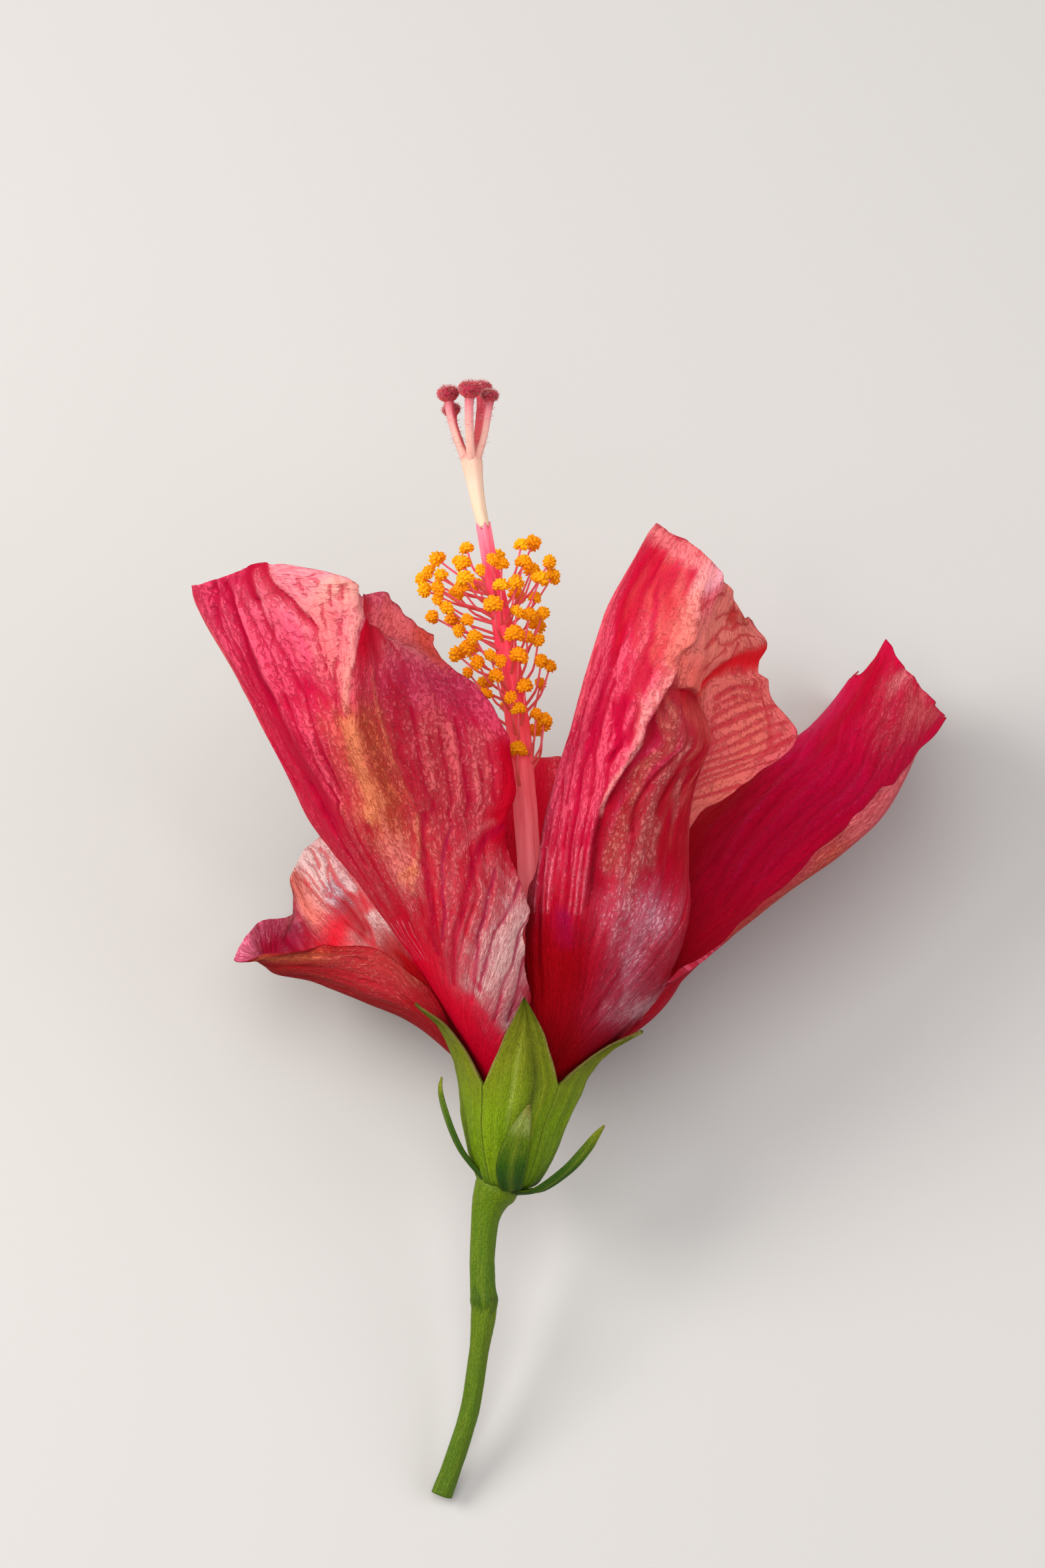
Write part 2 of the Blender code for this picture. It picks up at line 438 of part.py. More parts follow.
def make_column(finish, pose):
    """The tube that the filaments grow from."""
    heights = np.linspace(COLUMN_RADII[0][0], COLUMN_RADII[-1][0], COLUMN_STATIONS)
    line = np.array([axis_at(height) for height in heights])
    radii = column_radius(heights)
    points, faces = loft(line, (1, 0, 0), radii, radii, COLUMN_SIDES)
    face_outwards(add_object("staminal_column", points, faces, finish, pose))


def make_stamens(finish, pose):
    """Each stamen is a thin filament that ends in a pollen sac."""
    for number, anther in enumerate(ANTHERS, 1):
        anther = np.array(anther)
        lean = anther[0] - axis_at(anther[2])[0]
        root_height = anther[2] - FILAMENT_DROP - FILAMENT_DROP_SLOPE * lean
        middle = axis_at(root_height)
        outwards = unit((anther - middle) * (1, 1, 0))
        root = middle + outwards * (column_radius(root_height) + GAP + FILAMENT_RADIUS / 2)
        bend = (root + anther) / 2 + outwards * FILAMENT_BOW - (0, 0, FILAMENT_SAG)
        heading = unit(anther - bend)
        sac = [anther + heading * reach for reach, _ in ANTHER_OUTLINE]
        line = np.array([root, (root + bend) / 2 + outwards * FILAMENT_BOW / 3, bend, *sac])
        radii = [FILAMENT_RADIUS] * 3 + [ANTHER_RADIUS * share for _, share in ANTHER_OUTLINE]
        points, faces = loft(line, np.cross(heading, (0, 0, 1)), radii, radii, STAMEN_SIDES)
        face_outwards(add_object(f"stamen_{number:02d}", points, faces, finish, pose))


def make_pistil(finish, pose):
    """The style with its five branches and stigmas, grown as one piece."""
    line = spline(STYLE, STYLE_STATIONS)
    points, faces = loft(line[:, :3], (1, 0, 0), line[:, 3], line[:, 3], STYLE_SIDES)
    pistil = add_object("style", points, faces, finish, pose)
    face_outwards(pistil)
    for name, route in STYLE_BRANCHES.items():
        stem = spline(route, BRANCH_STATIONS)
        heading = unit(stem[-1] - stem[-2])
        pad = [stem[-1] + heading * STIGMA_HEIGHT * rise for rise, _ in STIGMA_OUTLINE]
        radii = [BRANCH_RADIUS] * len(stem) + [STIGMA_RADIUS * share for _, share in STIGMA_OUTLINE]
        points, faces = loft([*stem, *pad], (1, 0, 0), radii, radii, BRANCH_SIDES)
        branch = add_object("branch_" + name, points, faces, finish, pose)
        face_outwards(branch)
        branch.hide_render = True
        branch.display_type = "WIRE"
        joined = pistil.modifiers.new(name, "BOOLEAN")
        joined.operation = "UNION"
        joined.object = branch


def main():
    """Clears the scene and builds the flower."""
    for old in list(bpy.data.objects):
        bpy.data.objects.remove(old)
    pose = bpy.data.objects.new("laid_down", None)
    bpy.context.scene.collection.objects.link(pose)
    pose.location = [value * MM for value in BASE_POINT]
    pose.rotation_euler = (LEAN - math.pi / 2, 0, 0)

    petal = material("petal", (0.62, 0.03, 0.09), 0.55)
    green = material("green", (0.22, 0.34, 0.03), 0.5)
    rose = material("column", (0.80, 0.20, 0.24), 0.45)
    pollen = material("pollen", (0.85, 0.40, 0.01), 0.8)
    cream = material("style", (0.85, 0.66, 0.50), 0.5)

    make_stalk(green, pose)
    make_bracts(green, pose)
    make_calyx(green, pose)
    make_petals(petal, pose)
    make_column(rose, pose)
    make_stamens(pollen, pose)
    make_pistil(cream, pose)


main()
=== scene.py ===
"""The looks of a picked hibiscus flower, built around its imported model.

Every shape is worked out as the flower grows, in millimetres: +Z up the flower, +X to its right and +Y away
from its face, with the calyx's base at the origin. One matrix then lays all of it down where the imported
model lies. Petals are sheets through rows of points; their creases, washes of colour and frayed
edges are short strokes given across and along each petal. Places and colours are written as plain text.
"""

import logging
import math
from dataclasses import dataclass, field, replace
from enum import Enum

import bpy
import numpy as np
from bpy.types import Material, NodeSocket, Object
from mathutils import Matrix, Vector


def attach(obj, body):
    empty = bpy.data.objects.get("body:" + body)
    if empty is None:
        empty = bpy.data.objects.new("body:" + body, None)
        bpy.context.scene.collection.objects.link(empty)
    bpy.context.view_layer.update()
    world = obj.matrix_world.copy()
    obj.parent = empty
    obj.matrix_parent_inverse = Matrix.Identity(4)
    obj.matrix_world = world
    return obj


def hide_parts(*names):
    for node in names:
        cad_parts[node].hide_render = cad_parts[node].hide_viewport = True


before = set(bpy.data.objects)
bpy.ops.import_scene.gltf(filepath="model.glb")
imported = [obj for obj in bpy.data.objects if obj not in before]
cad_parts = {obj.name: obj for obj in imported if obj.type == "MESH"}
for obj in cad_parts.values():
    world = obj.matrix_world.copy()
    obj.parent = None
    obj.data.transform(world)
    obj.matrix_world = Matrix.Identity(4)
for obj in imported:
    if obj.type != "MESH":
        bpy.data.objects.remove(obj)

Points = np.ndarray
Route = tuple[tuple[float, ...], ...]
Faces = list[tuple[int, ...]]

log = logging.getLogger("hibiscus")

MM = 0.001
BODY = "root"


def path(text: str) -> Route:
    """Returns: points written as "1,2,3 4,5,6"."""
    return tuple(tuple(map(float, point.split(","))) for point in text.split())


def net(text: str) -> tuple[Route, ...]:
    """Returns: rows of points written as "3: 1,2 4,5,6; ...", where 3 is every third number left out."""
    rows = [row.split(":") for row in text.split(";")]
    return tuple(tuple((*point, float(third))[:3] for point in path(points)) for third, points in rows)


# How the growing flower is laid down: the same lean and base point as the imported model.
LEAN = math.radians(22.0)
BASE_POINT = (-11.06, -31.02, 17.41)

# The line through the middle of the flower, from the calyx's floor to the mouth of the staminal column.
AXIS = path("2.2,0,0 2.6,0,5 3,0,9 3.9,0,13.5 5.2,0,24 5.3,-.2,34 4.7,-.6,45 3.7,-1,58 2.5,-1.4,68 "
            ".8,-1.8,78 -.6,-2.1,85 -1.25,-2.2,88.6")


def laid_down() -> Matrix:
    """Returns: the matrix, in metres, from the growing flower to the flower as it lies."""
    base = Matrix.Translation([value * MM for value in BASE_POINT])
    return base @ Matrix.Rotation(LEAN - math.pi / 2, 4, "X")


def unit(vectors: Points) -> Points:
    """Returns: the vectors at length one."""
    return vectors / np.maximum(np.linalg.norm(vectors, axis=-1, keepdims=True), 1e-12)


def smooth(value: Points, low: float, high: float) -> Points:
    """Returns: 0 below low, 1 above high and a soft step between."""
    share = np.clip((value - low) / (high - low), 0, 1)
    return share * share * (3 - 2 * share)


def bell(value: Points, width: float) -> Points:
    """Returns: 1 where the value is 0, fading out to each side."""
    return np.exp(-(value / width) ** 2)


def linear(code: str) -> Points:
    """Returns: the linear colour of a hex code such as "d03050"."""
    shown = np.array([int(code[i:i + 2], 16) for i in (0, 2, 4)]) / 255
    return np.where(shown <= 0.04045, shown / 12.92, ((shown + 0.055) / 1.055) ** 2.4)


def blended(value: Points, stops: str, column: int = 1) -> Points:
    """Colours between stops.

    Args:
        value: where to read the stops.
        stops: "place colour, place colour" or, with more columns, "place colour colour number".
        column: the column that holds the colour.

    Returns:
        The colour at each value.
    """
    rows = [stop.split() for stop in stops.split(",")]
    places = [float(row[0]) for row in rows]
    shades = np.array([linear(row[column]) for row in rows])
    return np.stack([np.interp(value, places, shade) for shade in shades.T], axis=-1)


def washed(colour: Points, share: Points, code: str) -> Points:
    """Returns: the colours, taken towards another as far as share says."""
    return colour + (linear(code) - colour) * share[..., None]


def knot_weights(place: Points, count: int) -> tuple[Points, list[Points]]:
    """Catmull-Rom weights for places along a line of knots, counted from 0 to count - 1.

    Args:
        place: where to read the line; a little outside its ends is allowed.
        count: how many knots the line has.

    Returns:
        The first of four knots, in a line with one extra knot at each end, and the four weights.
    """
    first = np.clip(np.floor(place).astype(int), 0, count - 2)
    t = place - first
    weights = [-t + 2 * t**2 - t**3, 2 - 5 * t**2 + 3 * t**3, t + 4 * t**2 - 3 * t**3, -(t**2) + t**3]
    return first, [0.5 * weight for weight in weights]


def padded(knots: Points, axis: int) -> Points:
    """Adds a knot, straight on, at each end of an axis.

    Args:
        knots: the knots.
        axis: the axis.

    Returns:
        The longer line or net.
    """
    line = np.moveaxis(knots, axis, 0)
    line = np.concatenate([2 * line[:1] - line[1:2], line, 2 * line[-1:] - line[-2:-1]])
    return np.moveaxis(line, 0, axis)


def spline(points: Route | Points, count: int) -> Points:
    """A smooth curve.

    Args:
        points: points on it.
        count: how many points to make.

    Returns:
        The points, at even steps from one given point to the next.
    """
    first, weights = knot_weights(np.linspace(0, len(points) - 1, count), len(points))
    line = padded(np.asarray(points, float), 0)
    return sum(weight[:, None] * line[first + i] for i, weight in enumerate(weights))


AXIS_LINE = spline(AXIS, 240)


def axis_at(height: float | Points) -> Points:
    """Returns: the middle of the flower at a height."""
    return np.stack([np.interp(height, AXIS_LINE[:, 2], AXIS_LINE[:, i]) for i in range(3)], axis=-1)


def around(height: float | Points, angle: float | Points, radius: float | Points) -> Points:
    """Returns: the point at a compass angle in degrees and a distance from the flower's axis."""
    height, turn, radius = np.broadcast_arrays(height, np.radians(angle), radius)
    return axis_at(height) + radius[..., None] * np.stack([np.cos(turn), np.sin(turn), 0 * turn], axis=-1)


class Grain:
    """A smooth random field over a plane, the same on each run."""

    SIDE = 256

    def __init__(self, seed: int) -> None:
        """Args:
            seed: the number that the field grows from.
        """
        self.table = np.random.default_rng(seed).random((self.SIDE, self.SIDE)) * 2 - 1

    def at(self, x: Points, y: Points) -> Points:
        """Reads the field, which has about one lump for each unit.

        Args:
            x: where to read it, one way.
            y: where to read it, the other way.

        Returns:
            The field there, from -1 to 1.
        """
        x, y = np.broadcast_arrays(np.asarray(x, float), np.asarray(y, float))
        left, low = np.floor(x).astype(int), np.floor(y).astype(int)
        a, b = x - left, y - low
        a, b = a * a * (3 - 2 * a), b * b * (3 - 2 * b)
        low_left, high_left, low_right, high_right = (
            self.table[(left + i) % self.SIDE, (low + j) % self.SIDE] for i in (0, 1) for j in (0, 1))
        return (low_left * (1 - a) + low_right * a) * (1 - b) + (high_left * (1 - a) + high_right * a) * b

    def rough(self, x: Points, y: Points, octaves: int) -> Points:
        """Returns: the field with finer and weaker copies of itself added."""
        return sum(self.at(x * 2**step + 17 * step, y * 2**step + 31 * step) * 0.55**step
                   for step in range(octaves))


# ---- meshes


@dataclass
class Shape:
    """Points, faces and marks of one piece as it grows, in millimetres."""

    points: Points
    faces: Faces  # each face's points by number
    # named colours, vectors or numbers, one for each point
    marks: dict[str, Points] = field(default_factory=dict)

    def object(self, name: str, material: Material) -> Object:
        """Lays the shape down and links it to the scene, with its marks as attributes.

        Args:
            name: the piece's name.
            material: its material.

        Returns:
            The piece.
        """
        place = np.array(laid_down())
        points = self.points * MM @ place[:3, :3].T + place[:3, 3]
        mesh = bpy.data.meshes.new(name)
        mesh.from_pydata(points.tolist(), [], self.faces)
        mesh.materials.append(material)
        for key, rows in self.marks.items():
            kind, slot = ("FLOAT", "value") if rows.ndim == 1 else ("FLOAT_VECTOR", "vector")
            if rows.ndim == 2 and key != "fan":
                kind, slot = "FLOAT_COLOR", "color"
                rows = np.pad(rows, ((0, 0), (0, 1)), constant_values=1)
            mesh.attributes.new(key, kind, "POINT").data.foreach_set(slot, rows.astype(np.float32).ravel())
        mesh.shade_smooth()
        piece = bpy.data.objects.new(name, mesh)
        bpy.context.scene.collection.objects.link(piece)
        return piece

    def read(self, *names: str) -> list[Points]:
        """Returns: the marks with these names."""
        return [self.marks[name] for name in names]

    def shaded(self, ground: Points, fan: Points) -> "Shape":
        """Returns: the shape, marked only with its ground colours and its pattern's coordinates."""
        return Shape(self.points, self.faces, {"ground": np.clip(ground, 0, 1), "fan": fan})


def joined(shapes: list[Shape]) -> Shape:
    """Joins shapes that have the same marks.

    Args:
        shapes: the shapes.

    Returns:
        All of them as one.
    """
    faces, start = [], 0
    for shape in shapes:
        faces += [tuple(start + corner for corner in face) for face in shape.faces]
        start += len(shape.points)
    marks = {key: np.concatenate([shape.marks[key] for shape in shapes]) for key in shapes[0].marks}
    return Shape(np.concatenate([shape.points for shape in shapes]), faces, marks)


def settle(piece: Object, slot: str, *nodes: str) -> Object:
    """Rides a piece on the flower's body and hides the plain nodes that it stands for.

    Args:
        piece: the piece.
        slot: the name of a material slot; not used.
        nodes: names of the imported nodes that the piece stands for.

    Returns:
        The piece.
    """
    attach(piece, BODY)
    if nodes:
        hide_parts(*nodes)
    return piece


class Single:
    """A sub-assembly that is one piece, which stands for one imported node."""

    node: str
    ENDING = ""
    SLOT = ""

    def build(self) -> Shape:
        """Returns: the shape; each kind of piece grows its own."""
        raise NotImplementedError

    def dress(self, material: Material) -> Object:
        """Returns: the piece, built and settled on the flower."""
        return settle(self.build().object(self.node + self.ENDING, material), self.SLOT, self.node)


def ring_faces(rings: int, sides: int, gap: int = 0) -> Faces:
    """Returns: the faces between rings of points, or with a gap of 1 between the rows of an open sheet."""
    return [(ring * sides + side, ring * sides + (side + 1) % sides, (ring + 1) * sides + (side + 1) % sides,
             (ring + 1) * sides + side) for ring in range(rings - 1) for side in range(sides - gap)]


def tube(line: Points, widths: Points, depths: Points, sides: int, across: Points,
         flutes: tuple[int, float] = (0, 0.0)) -> Shape:
    """A closed rod of oval rings along a line.

    Args:
        line: the middle of each ring.
        widths: each ring's half width, along across.
        depths: each ring's half depth.
        sides: points in each ring.
        across: the way that the width runs.
        flutes: how many flutes a ring has and how deep they are, as a share of its radius.

    Returns:
        The rod; each point is marked with its share of the length, its turn, its ring's middle, and 1, or 0
        for the two points that close the ends.
    """
    tangents = unit(np.gradient(line, axis=0))
    across = np.broadcast_to(np.asarray(across, float), line.shape)
    across = unit(across - (across * tangents).sum(1, keepdims=True) * tangents)
    turn = np.arange(sides) * 2 * math.pi / sides
    flute = 1 + flutes[1] * np.cos(flutes[0] * turn)
    side, up = across[:, None], np.cross(tangents, across)[:, None]
    wide = widths[:, None, None] * side * (np.cos(turn) * flute)[None, :, None]
    deep = depths[:, None, None] * up * (np.sin(turn) * flute)[None, :, None]
    rings = line[:, None] + wide + deep
    stations = len(line)
    last = (stations - 1) * sides
    foot, tip = stations * sides, stations * sides + 1
    faces = ring_faces(stations, sides)
    faces += [(foot, (side + 1) % sides, side) for side in range(sides)]
    faces += [(tip, last + side, last + (side + 1) % sides) for side in range(sides)]
    points = np.concatenate([rings.reshape(-1, 3), line[:1], line[-1:]])
    return Shape(points, faces, {
        "share": np.append(np.repeat(np.linspace(0, 1, stations), sides), [0, 1]),
        "turn": np.append(np.tile(turn, stations), [0, 0]),
        "middle": np.append(np.repeat(line, sides, axis=0), line[[0, -1]], axis=0),
        "ring": np.append(np.ones(stations * sides), [0, 0]),
    })


def rolled(turn: Points, reach: Points) -> Points:
    """Returns: a rod's pattern coordinates, from how far round and how far along each point is."""
    return np.stack([turn, reach, 0 * turn], axis=1)


def outwards(points: Points, middle: Points) -> Points:
    """Returns: the way from the middle of a rod to each of its points."""
    return unit(points - middle + 1e-9)


def shell(outer: Points, inner: Points, faces: Faces) -> Shape:
    """Closes a thin body between two sheets, with a wall along each open edge.

    Args:
        outer: points of the outer sheet.
        inner: the same points of the inner sheet.
        faces: the outer sheet's faces.

    Returns:
        The closed body, outer sheet first.
    """
    count = len(outer)
    edges = {edge: None for face in faces for edge in zip(face, face[1:] + face[:1])}
    walls = [(beside, here, here + count, beside + count) for here, beside in edges
             if (beside, here) not in edges]
    backs = [tuple(count + corner for corner in reversed(face)) for face in faces]
    return Shape(np.concatenate([outer, inner]), [*faces, *backs, *walls])


def sphere(splits: int) -> Shape:
    """An even ball of radius 1.

    Args:
        splits: how many times an icosahedron's faces are split in four.

    Returns:
        The ball.
    """
    g = (1 + math.sqrt(5)) / 2
    points = [(-1, g, 0), (1, g, 0), (-1, -g, 0), (1, -g, 0), (0, -1, g), (0, 1, g), (0, -1, -g), (0, 1, -g),
              (g, 0, -1), (g, 0, 1), (-g, 0, -1), (-g, 0, 1)]
    faces = [(0, 11, 5), (0, 5, 1), (0, 1, 7), (0, 7, 10), (0, 10, 11), (1, 5, 9), (5, 11, 4), (11, 10, 2),
             (10, 7, 6), (7, 1, 8), (3, 9, 4), (3, 4, 2), (3, 2, 6), (3, 6, 8), (3, 8, 9), (4, 9, 5),
             (2, 4, 11), (6, 2, 10), (8, 6, 7), (9, 8, 1)]
    points = [np.array(point, float) for point in points]
    for _ in range(splits):
        halfway: dict[tuple[int, int], int] = {}
        finer = []
        for a, b, c in faces:
            made = []
            for pair in ((a, b), (b, c), (c, a)):
                key = (min(pair), max(pair))
                if key not in halfway:
                    halfway[key] = len(points)
                    points.append((points[pair[0]] + points[pair[1]]) / 2)
                made.append(halfway[key])
            finer += [(a, made[0], made[2]), (b, made[1], made[0]), (c, made[2], made[1]), tuple(made)]
        faces = finer
    return Shape(unit(np.array(points)), faces)


def hairs(roots: Points, ways: Points, lengths: Points, radius: float, droop: float) -> Shape:
    """Fine tapering hairs, each a closed three-sided spike in two parts.

    Args:
        roots: where each hair starts.
        ways: the way that each hair points.
        lengths: each hair's length.
        radius: the radius at a hair's root.
        droop: how far a hair's tip bends sideways, as a share of its length.

    Returns:
        All the hairs as one shape.
    """
    ways = unit(ways)
    side = unit(np.cross(ways, np.array([0.31, 0.52, 0.79])))
    other = np.cross(ways, side)
    lengths = lengths[:, None]
    bend = side * lengths * droop
    points = []
    for reach, share in ((0.0, 1.0), (0.5, 0.7)):
        middle = roots + ways * lengths * reach + bend * reach**2
        for angle in (0, 2 * math.pi / 3, 4 * math.pi / 3):
            points.append(middle + radius * share * (math.cos(angle) * side + math.sin(angle) * other))
    points.append(roots + ways * lengths + bend)
    pattern = [(0, 2, 1), (0, 1, 4, 3), (1, 2, 5, 4), (2, 0, 3, 5), (3, 4, 6), (4, 5, 6), (5, 3, 6)]
    faces = [tuple(7 * i + corner for corner in face) for i in range(len(roots)) for face in pattern]
    return Shape(np.stack(points, axis=1).reshape(-1, 3), faces)


# ---- finishes


class Dye:
    """Makes and joins the nodes of one material."""

    def __init__(self, name: str) -> None:
        """Args:
            name: the material's name.
        """
        self.material = bpy.data.materials.new(name)
        self.material.use_nodes = True
        self.tree = self.material.node_tree
        self.shader = self.tree.nodes["Principled BSDF"]

    def node(self, kind: str, *inputs: object, **settings: object) -> NodeSocket:
        """Adds a node.

        Args:
            kind: the node's type name, without "ShaderNode".
            inputs: what its first sockets get, in order.
            settings: the node's properties, and its other sockets by name.

        Returns:
            The node's first result.
        """
        made = self.tree.nodes.new("ShaderNode" + kind)
        for key, value in settings.items():
            if key[0].isupper():
                self.feed(made.inputs[key], value)
            else:
                setattr(made, key, value)
        for socket, value in zip(made.inputs, inputs):
            self.feed(socket, value)
        return made.outputs[0]

    def feed(self, socket: NodeSocket, value: object) -> None:
        """Gives a socket its value.

        Args:
            socket: the socket.
            value: another node's output to link it to, a hex colour or a plain value.
        """
        if isinstance(value, NodeSocket):
            self.tree.links.new(value, socket)
        else:
            socket.default_value = (*linear(value), 1.0) if isinstance(value, str) else value

    def set(self, **sockets: object) -> None:
        """Sets or links the shader's sockets, named with _ for a space."""
        for key, value in sockets.items():
            self.feed(self.shader.inputs[key.replace("_", " ")], value)

    def attribute(self, name: str, part: str = "Color") -> NodeSocket:
        """Returns: a mesh attribute's Color, Vector or Fac."""
        return self.node("Attribute", attribute_name=name).node.outputs[part]

    def math(self, operation: str, *values: object, clamp: bool = False) -> NodeSocket:
        """Returns: the result of a Math node."""
        return self.node("Math", *values, operation=operation, use_clamp=clamp)

    def noise(self, vector: NodeSocket, scale: tuple[float, ...] | float, detail: float,
              roughness: float = 0.6) -> NodeSocket:
        """Returns: noise from 0 to 1, squeezed by a scale in one or three ways."""
        scale, vector = (1.0, self.scaled(vector, scale)) if isinstance(scale, tuple) else (scale, vector)
        return self.node("TexNoise", Vector=vector, Scale=scale, Detail=detail, Roughness=roughness)

    def scaled(self, vector: NodeSocket, scale: tuple[float, ...]) -> NodeSocket:
        """Returns: a vector with each part multiplied."""
        return self.node("VectorMath", vector, scale, operation="MULTIPLY")

    def warped(self, vector: NodeSocket, scale: float, reach: float) -> NodeSocket:
        """Returns: a vector pushed about by noise of the given scale, as far as reach."""
        push = self.noise(vector, scale, 1.0, 0.5).node.outputs["Color"]
        return self.node("VectorMath", push, (2 * reach,) * 3, vector, operation="MULTIPLY_ADD")

    def walls(self, vector: NodeSocket, scale: tuple[float, ...]) -> NodeSocket:
        """Returns: the distance to the walls of a net of cells."""
        return self.node("TexVoronoi", Vector=self.scaled(vector, scale), Scale=1.0,
                         feature="DISTANCE_TO_EDGE")

    def between(self, value: NodeSocket, low: object, high: object, start: float = 0.0,
                end: float = 1.0) -> NodeSocket:
        """Returns: a soft step of a value, from start at low to end at high."""
        return self.node("MapRange", value, low, high, start, end, interpolation_type="SMOOTHSTEP")

    def mixed(self, share: object, under: object, over: object, blend: str = "MIX") -> NodeSocket:
        """Returns: two colours mixed, all of the first where share is 0."""
        return self.node("MixRGB", share, under, over, blend_type=blend)

    def bumped(self, *layers: tuple[NodeSocket, float]) -> NodeSocket:
        """Lays relief over relief.

        Args:
            layers: each a height from 0 to 1 and how many millimetres 1 stands for.

        Returns:
            The surface's normal.
        """
        under: dict[str, NodeSocket] = {}
        for height, depth in layers:
            under = {"Normal": self.node("Bump", Strength=1.0, Distance=depth * MM, Height=height, **under)}
        return under["Normal"]

    def glowing(self, share: float, colour: object, normal: NodeSocket) -> None:
        """Lets light through the surface.

        Args:
            share: how much of it.
            colour: the colour that it takes.
            normal: the surface's normal.
        """
        glow = self.node("BsdfTranslucent", Color=colour, Normal=normal)
        blend = self.node("MixShader", share, self.shader.outputs[0], glow)
        self.tree.links.new(blend, self.tree.nodes["Material Output"].inputs["Surface"])


@dataclass(frozen=True)
class PetalFinish:
    """Petal skin: pale cells in a crimson net, long streaks, main veins and fine fibres."""

    glow: float = 0.3  # how much light comes through
    roughness: float = 0.6  # the surface's middle roughness
    # how many small cells fit in a millimetre, across and along
    cell: tuple[float, float, float] = (1.7, 1.05, 1.0)
    vein: float = 0.45  # how strong the main veins are

    def make(self, name: str) -> Material:
        """Makes the material.

        Args:
            name: its name.

        Returns:
            The material.
        """
        dye = Dye(name)
        fan, deep = dye.attribute("fan", "Vector"), dye.attribute("deep")
        wavy = dye.warped(fan, 0.45, 0.6)
        crinkly = dye.warped(wavy, 1.6, 0.16)

        streaks = dye.noise(wavy, (0.95, 0.13, 1.0), 3.0, 0.62)
        blotches = dye.noise(wavy, (0.62, 0.36, 1.0), 3.0)
        cover = dye.attribute("cover", "Fac")
        swing = dye.math("MULTIPLY", cover, dye.math("SUBTRACT", 1.35, cover))
        shift = dye.math("ADD", dye.math("MULTIPLY", dye.math("SUBTRACT", streaks, 0.5), 1.9),
                         dye.math("MULTIPLY", dye.math("SUBTRACT", blotches, 0.5), 1.3))
        cover = dye.math("MULTIPLY_ADD", shift, swing, cover, clamp=True)

        cells = dye.between(dye.walls(crinkly, self.cell), 0.0, 0.42)
        flecks = dye.between(dye.noise(crinkly, (2.3, 0.95, 1.0), 4.0, 0.68), 0.28, 0.72)
        grounds = dye.math("ADD", dye.math("MULTIPLY", cells, 0.38), dye.math("MULTIPLY", flecks, 0.62))
        gap = dye.math("MULTIPLY_ADD", cover, -0.86, 0.84)
        filled = dye.between(grounds, gap, dye.math("ADD", gap, 0.22))
        share = dye.math("MULTIPLY_ADD", filled, 0.55,
                         dye.math("MULTIPLY", dye.between(cover, 0.05, 0.85), 0.42))

        veins = [dye.math("MULTIPLY", dye.between(dye.walls(vector, scale), thin, wide, most, 0.0),
                          dye.attribute("veins", "Fac"))
                 for vector, scale, thin, wide, most in ((wavy, (0.42, 0.13, 1.0), 0.008, 0.05, 1.0),
                                                         (crinkly, (0.95, 0.5, 1.0), 0.01, 0.07, 0.6))]
        veins = dye.math("MAXIMUM", *veins)
        fibres = dye.noise(fan, (5.5, 0.3, 1.0), 2.0)
        grit = dye.noise(crinkly, (4.6, 2.8, 1.0), 2.0)

        shade = dye.mixed(share, deep, dye.attribute("bloom"))
        shade = dye.mixed(dye.math("MULTIPLY", veins, self.vein), shade, deep)
        dark = dye.mixed(1.0, shade, "d08088", "MULTIPLY")
        shade = dye.mixed(dye.between(fibres, 0.42, 0.7, 0.0, 0.35), shade, dark)
        shade = dye.mixed(dye.between(grit, 0.5, 0.72, 0.0, 0.4), shade, dark)
        bump = dye.bumped((filled, 0.09), (streaks, 0.35), (veins, -0.10), (fibres, 0.06), (grit, 0.05))
        dye.set(Base_Color=shade, Normal=bump, Specular_IOR_Level=0.05,
                Roughness=dye.between(blotches, 0.3, 0.7, self.roughness - 0.08, self.roughness + 0.1))
        dye.glowing(self.glow, dye.mixed(0.5, shade, "ff4060", "MULTIPLY"), bump)
        return dye.material


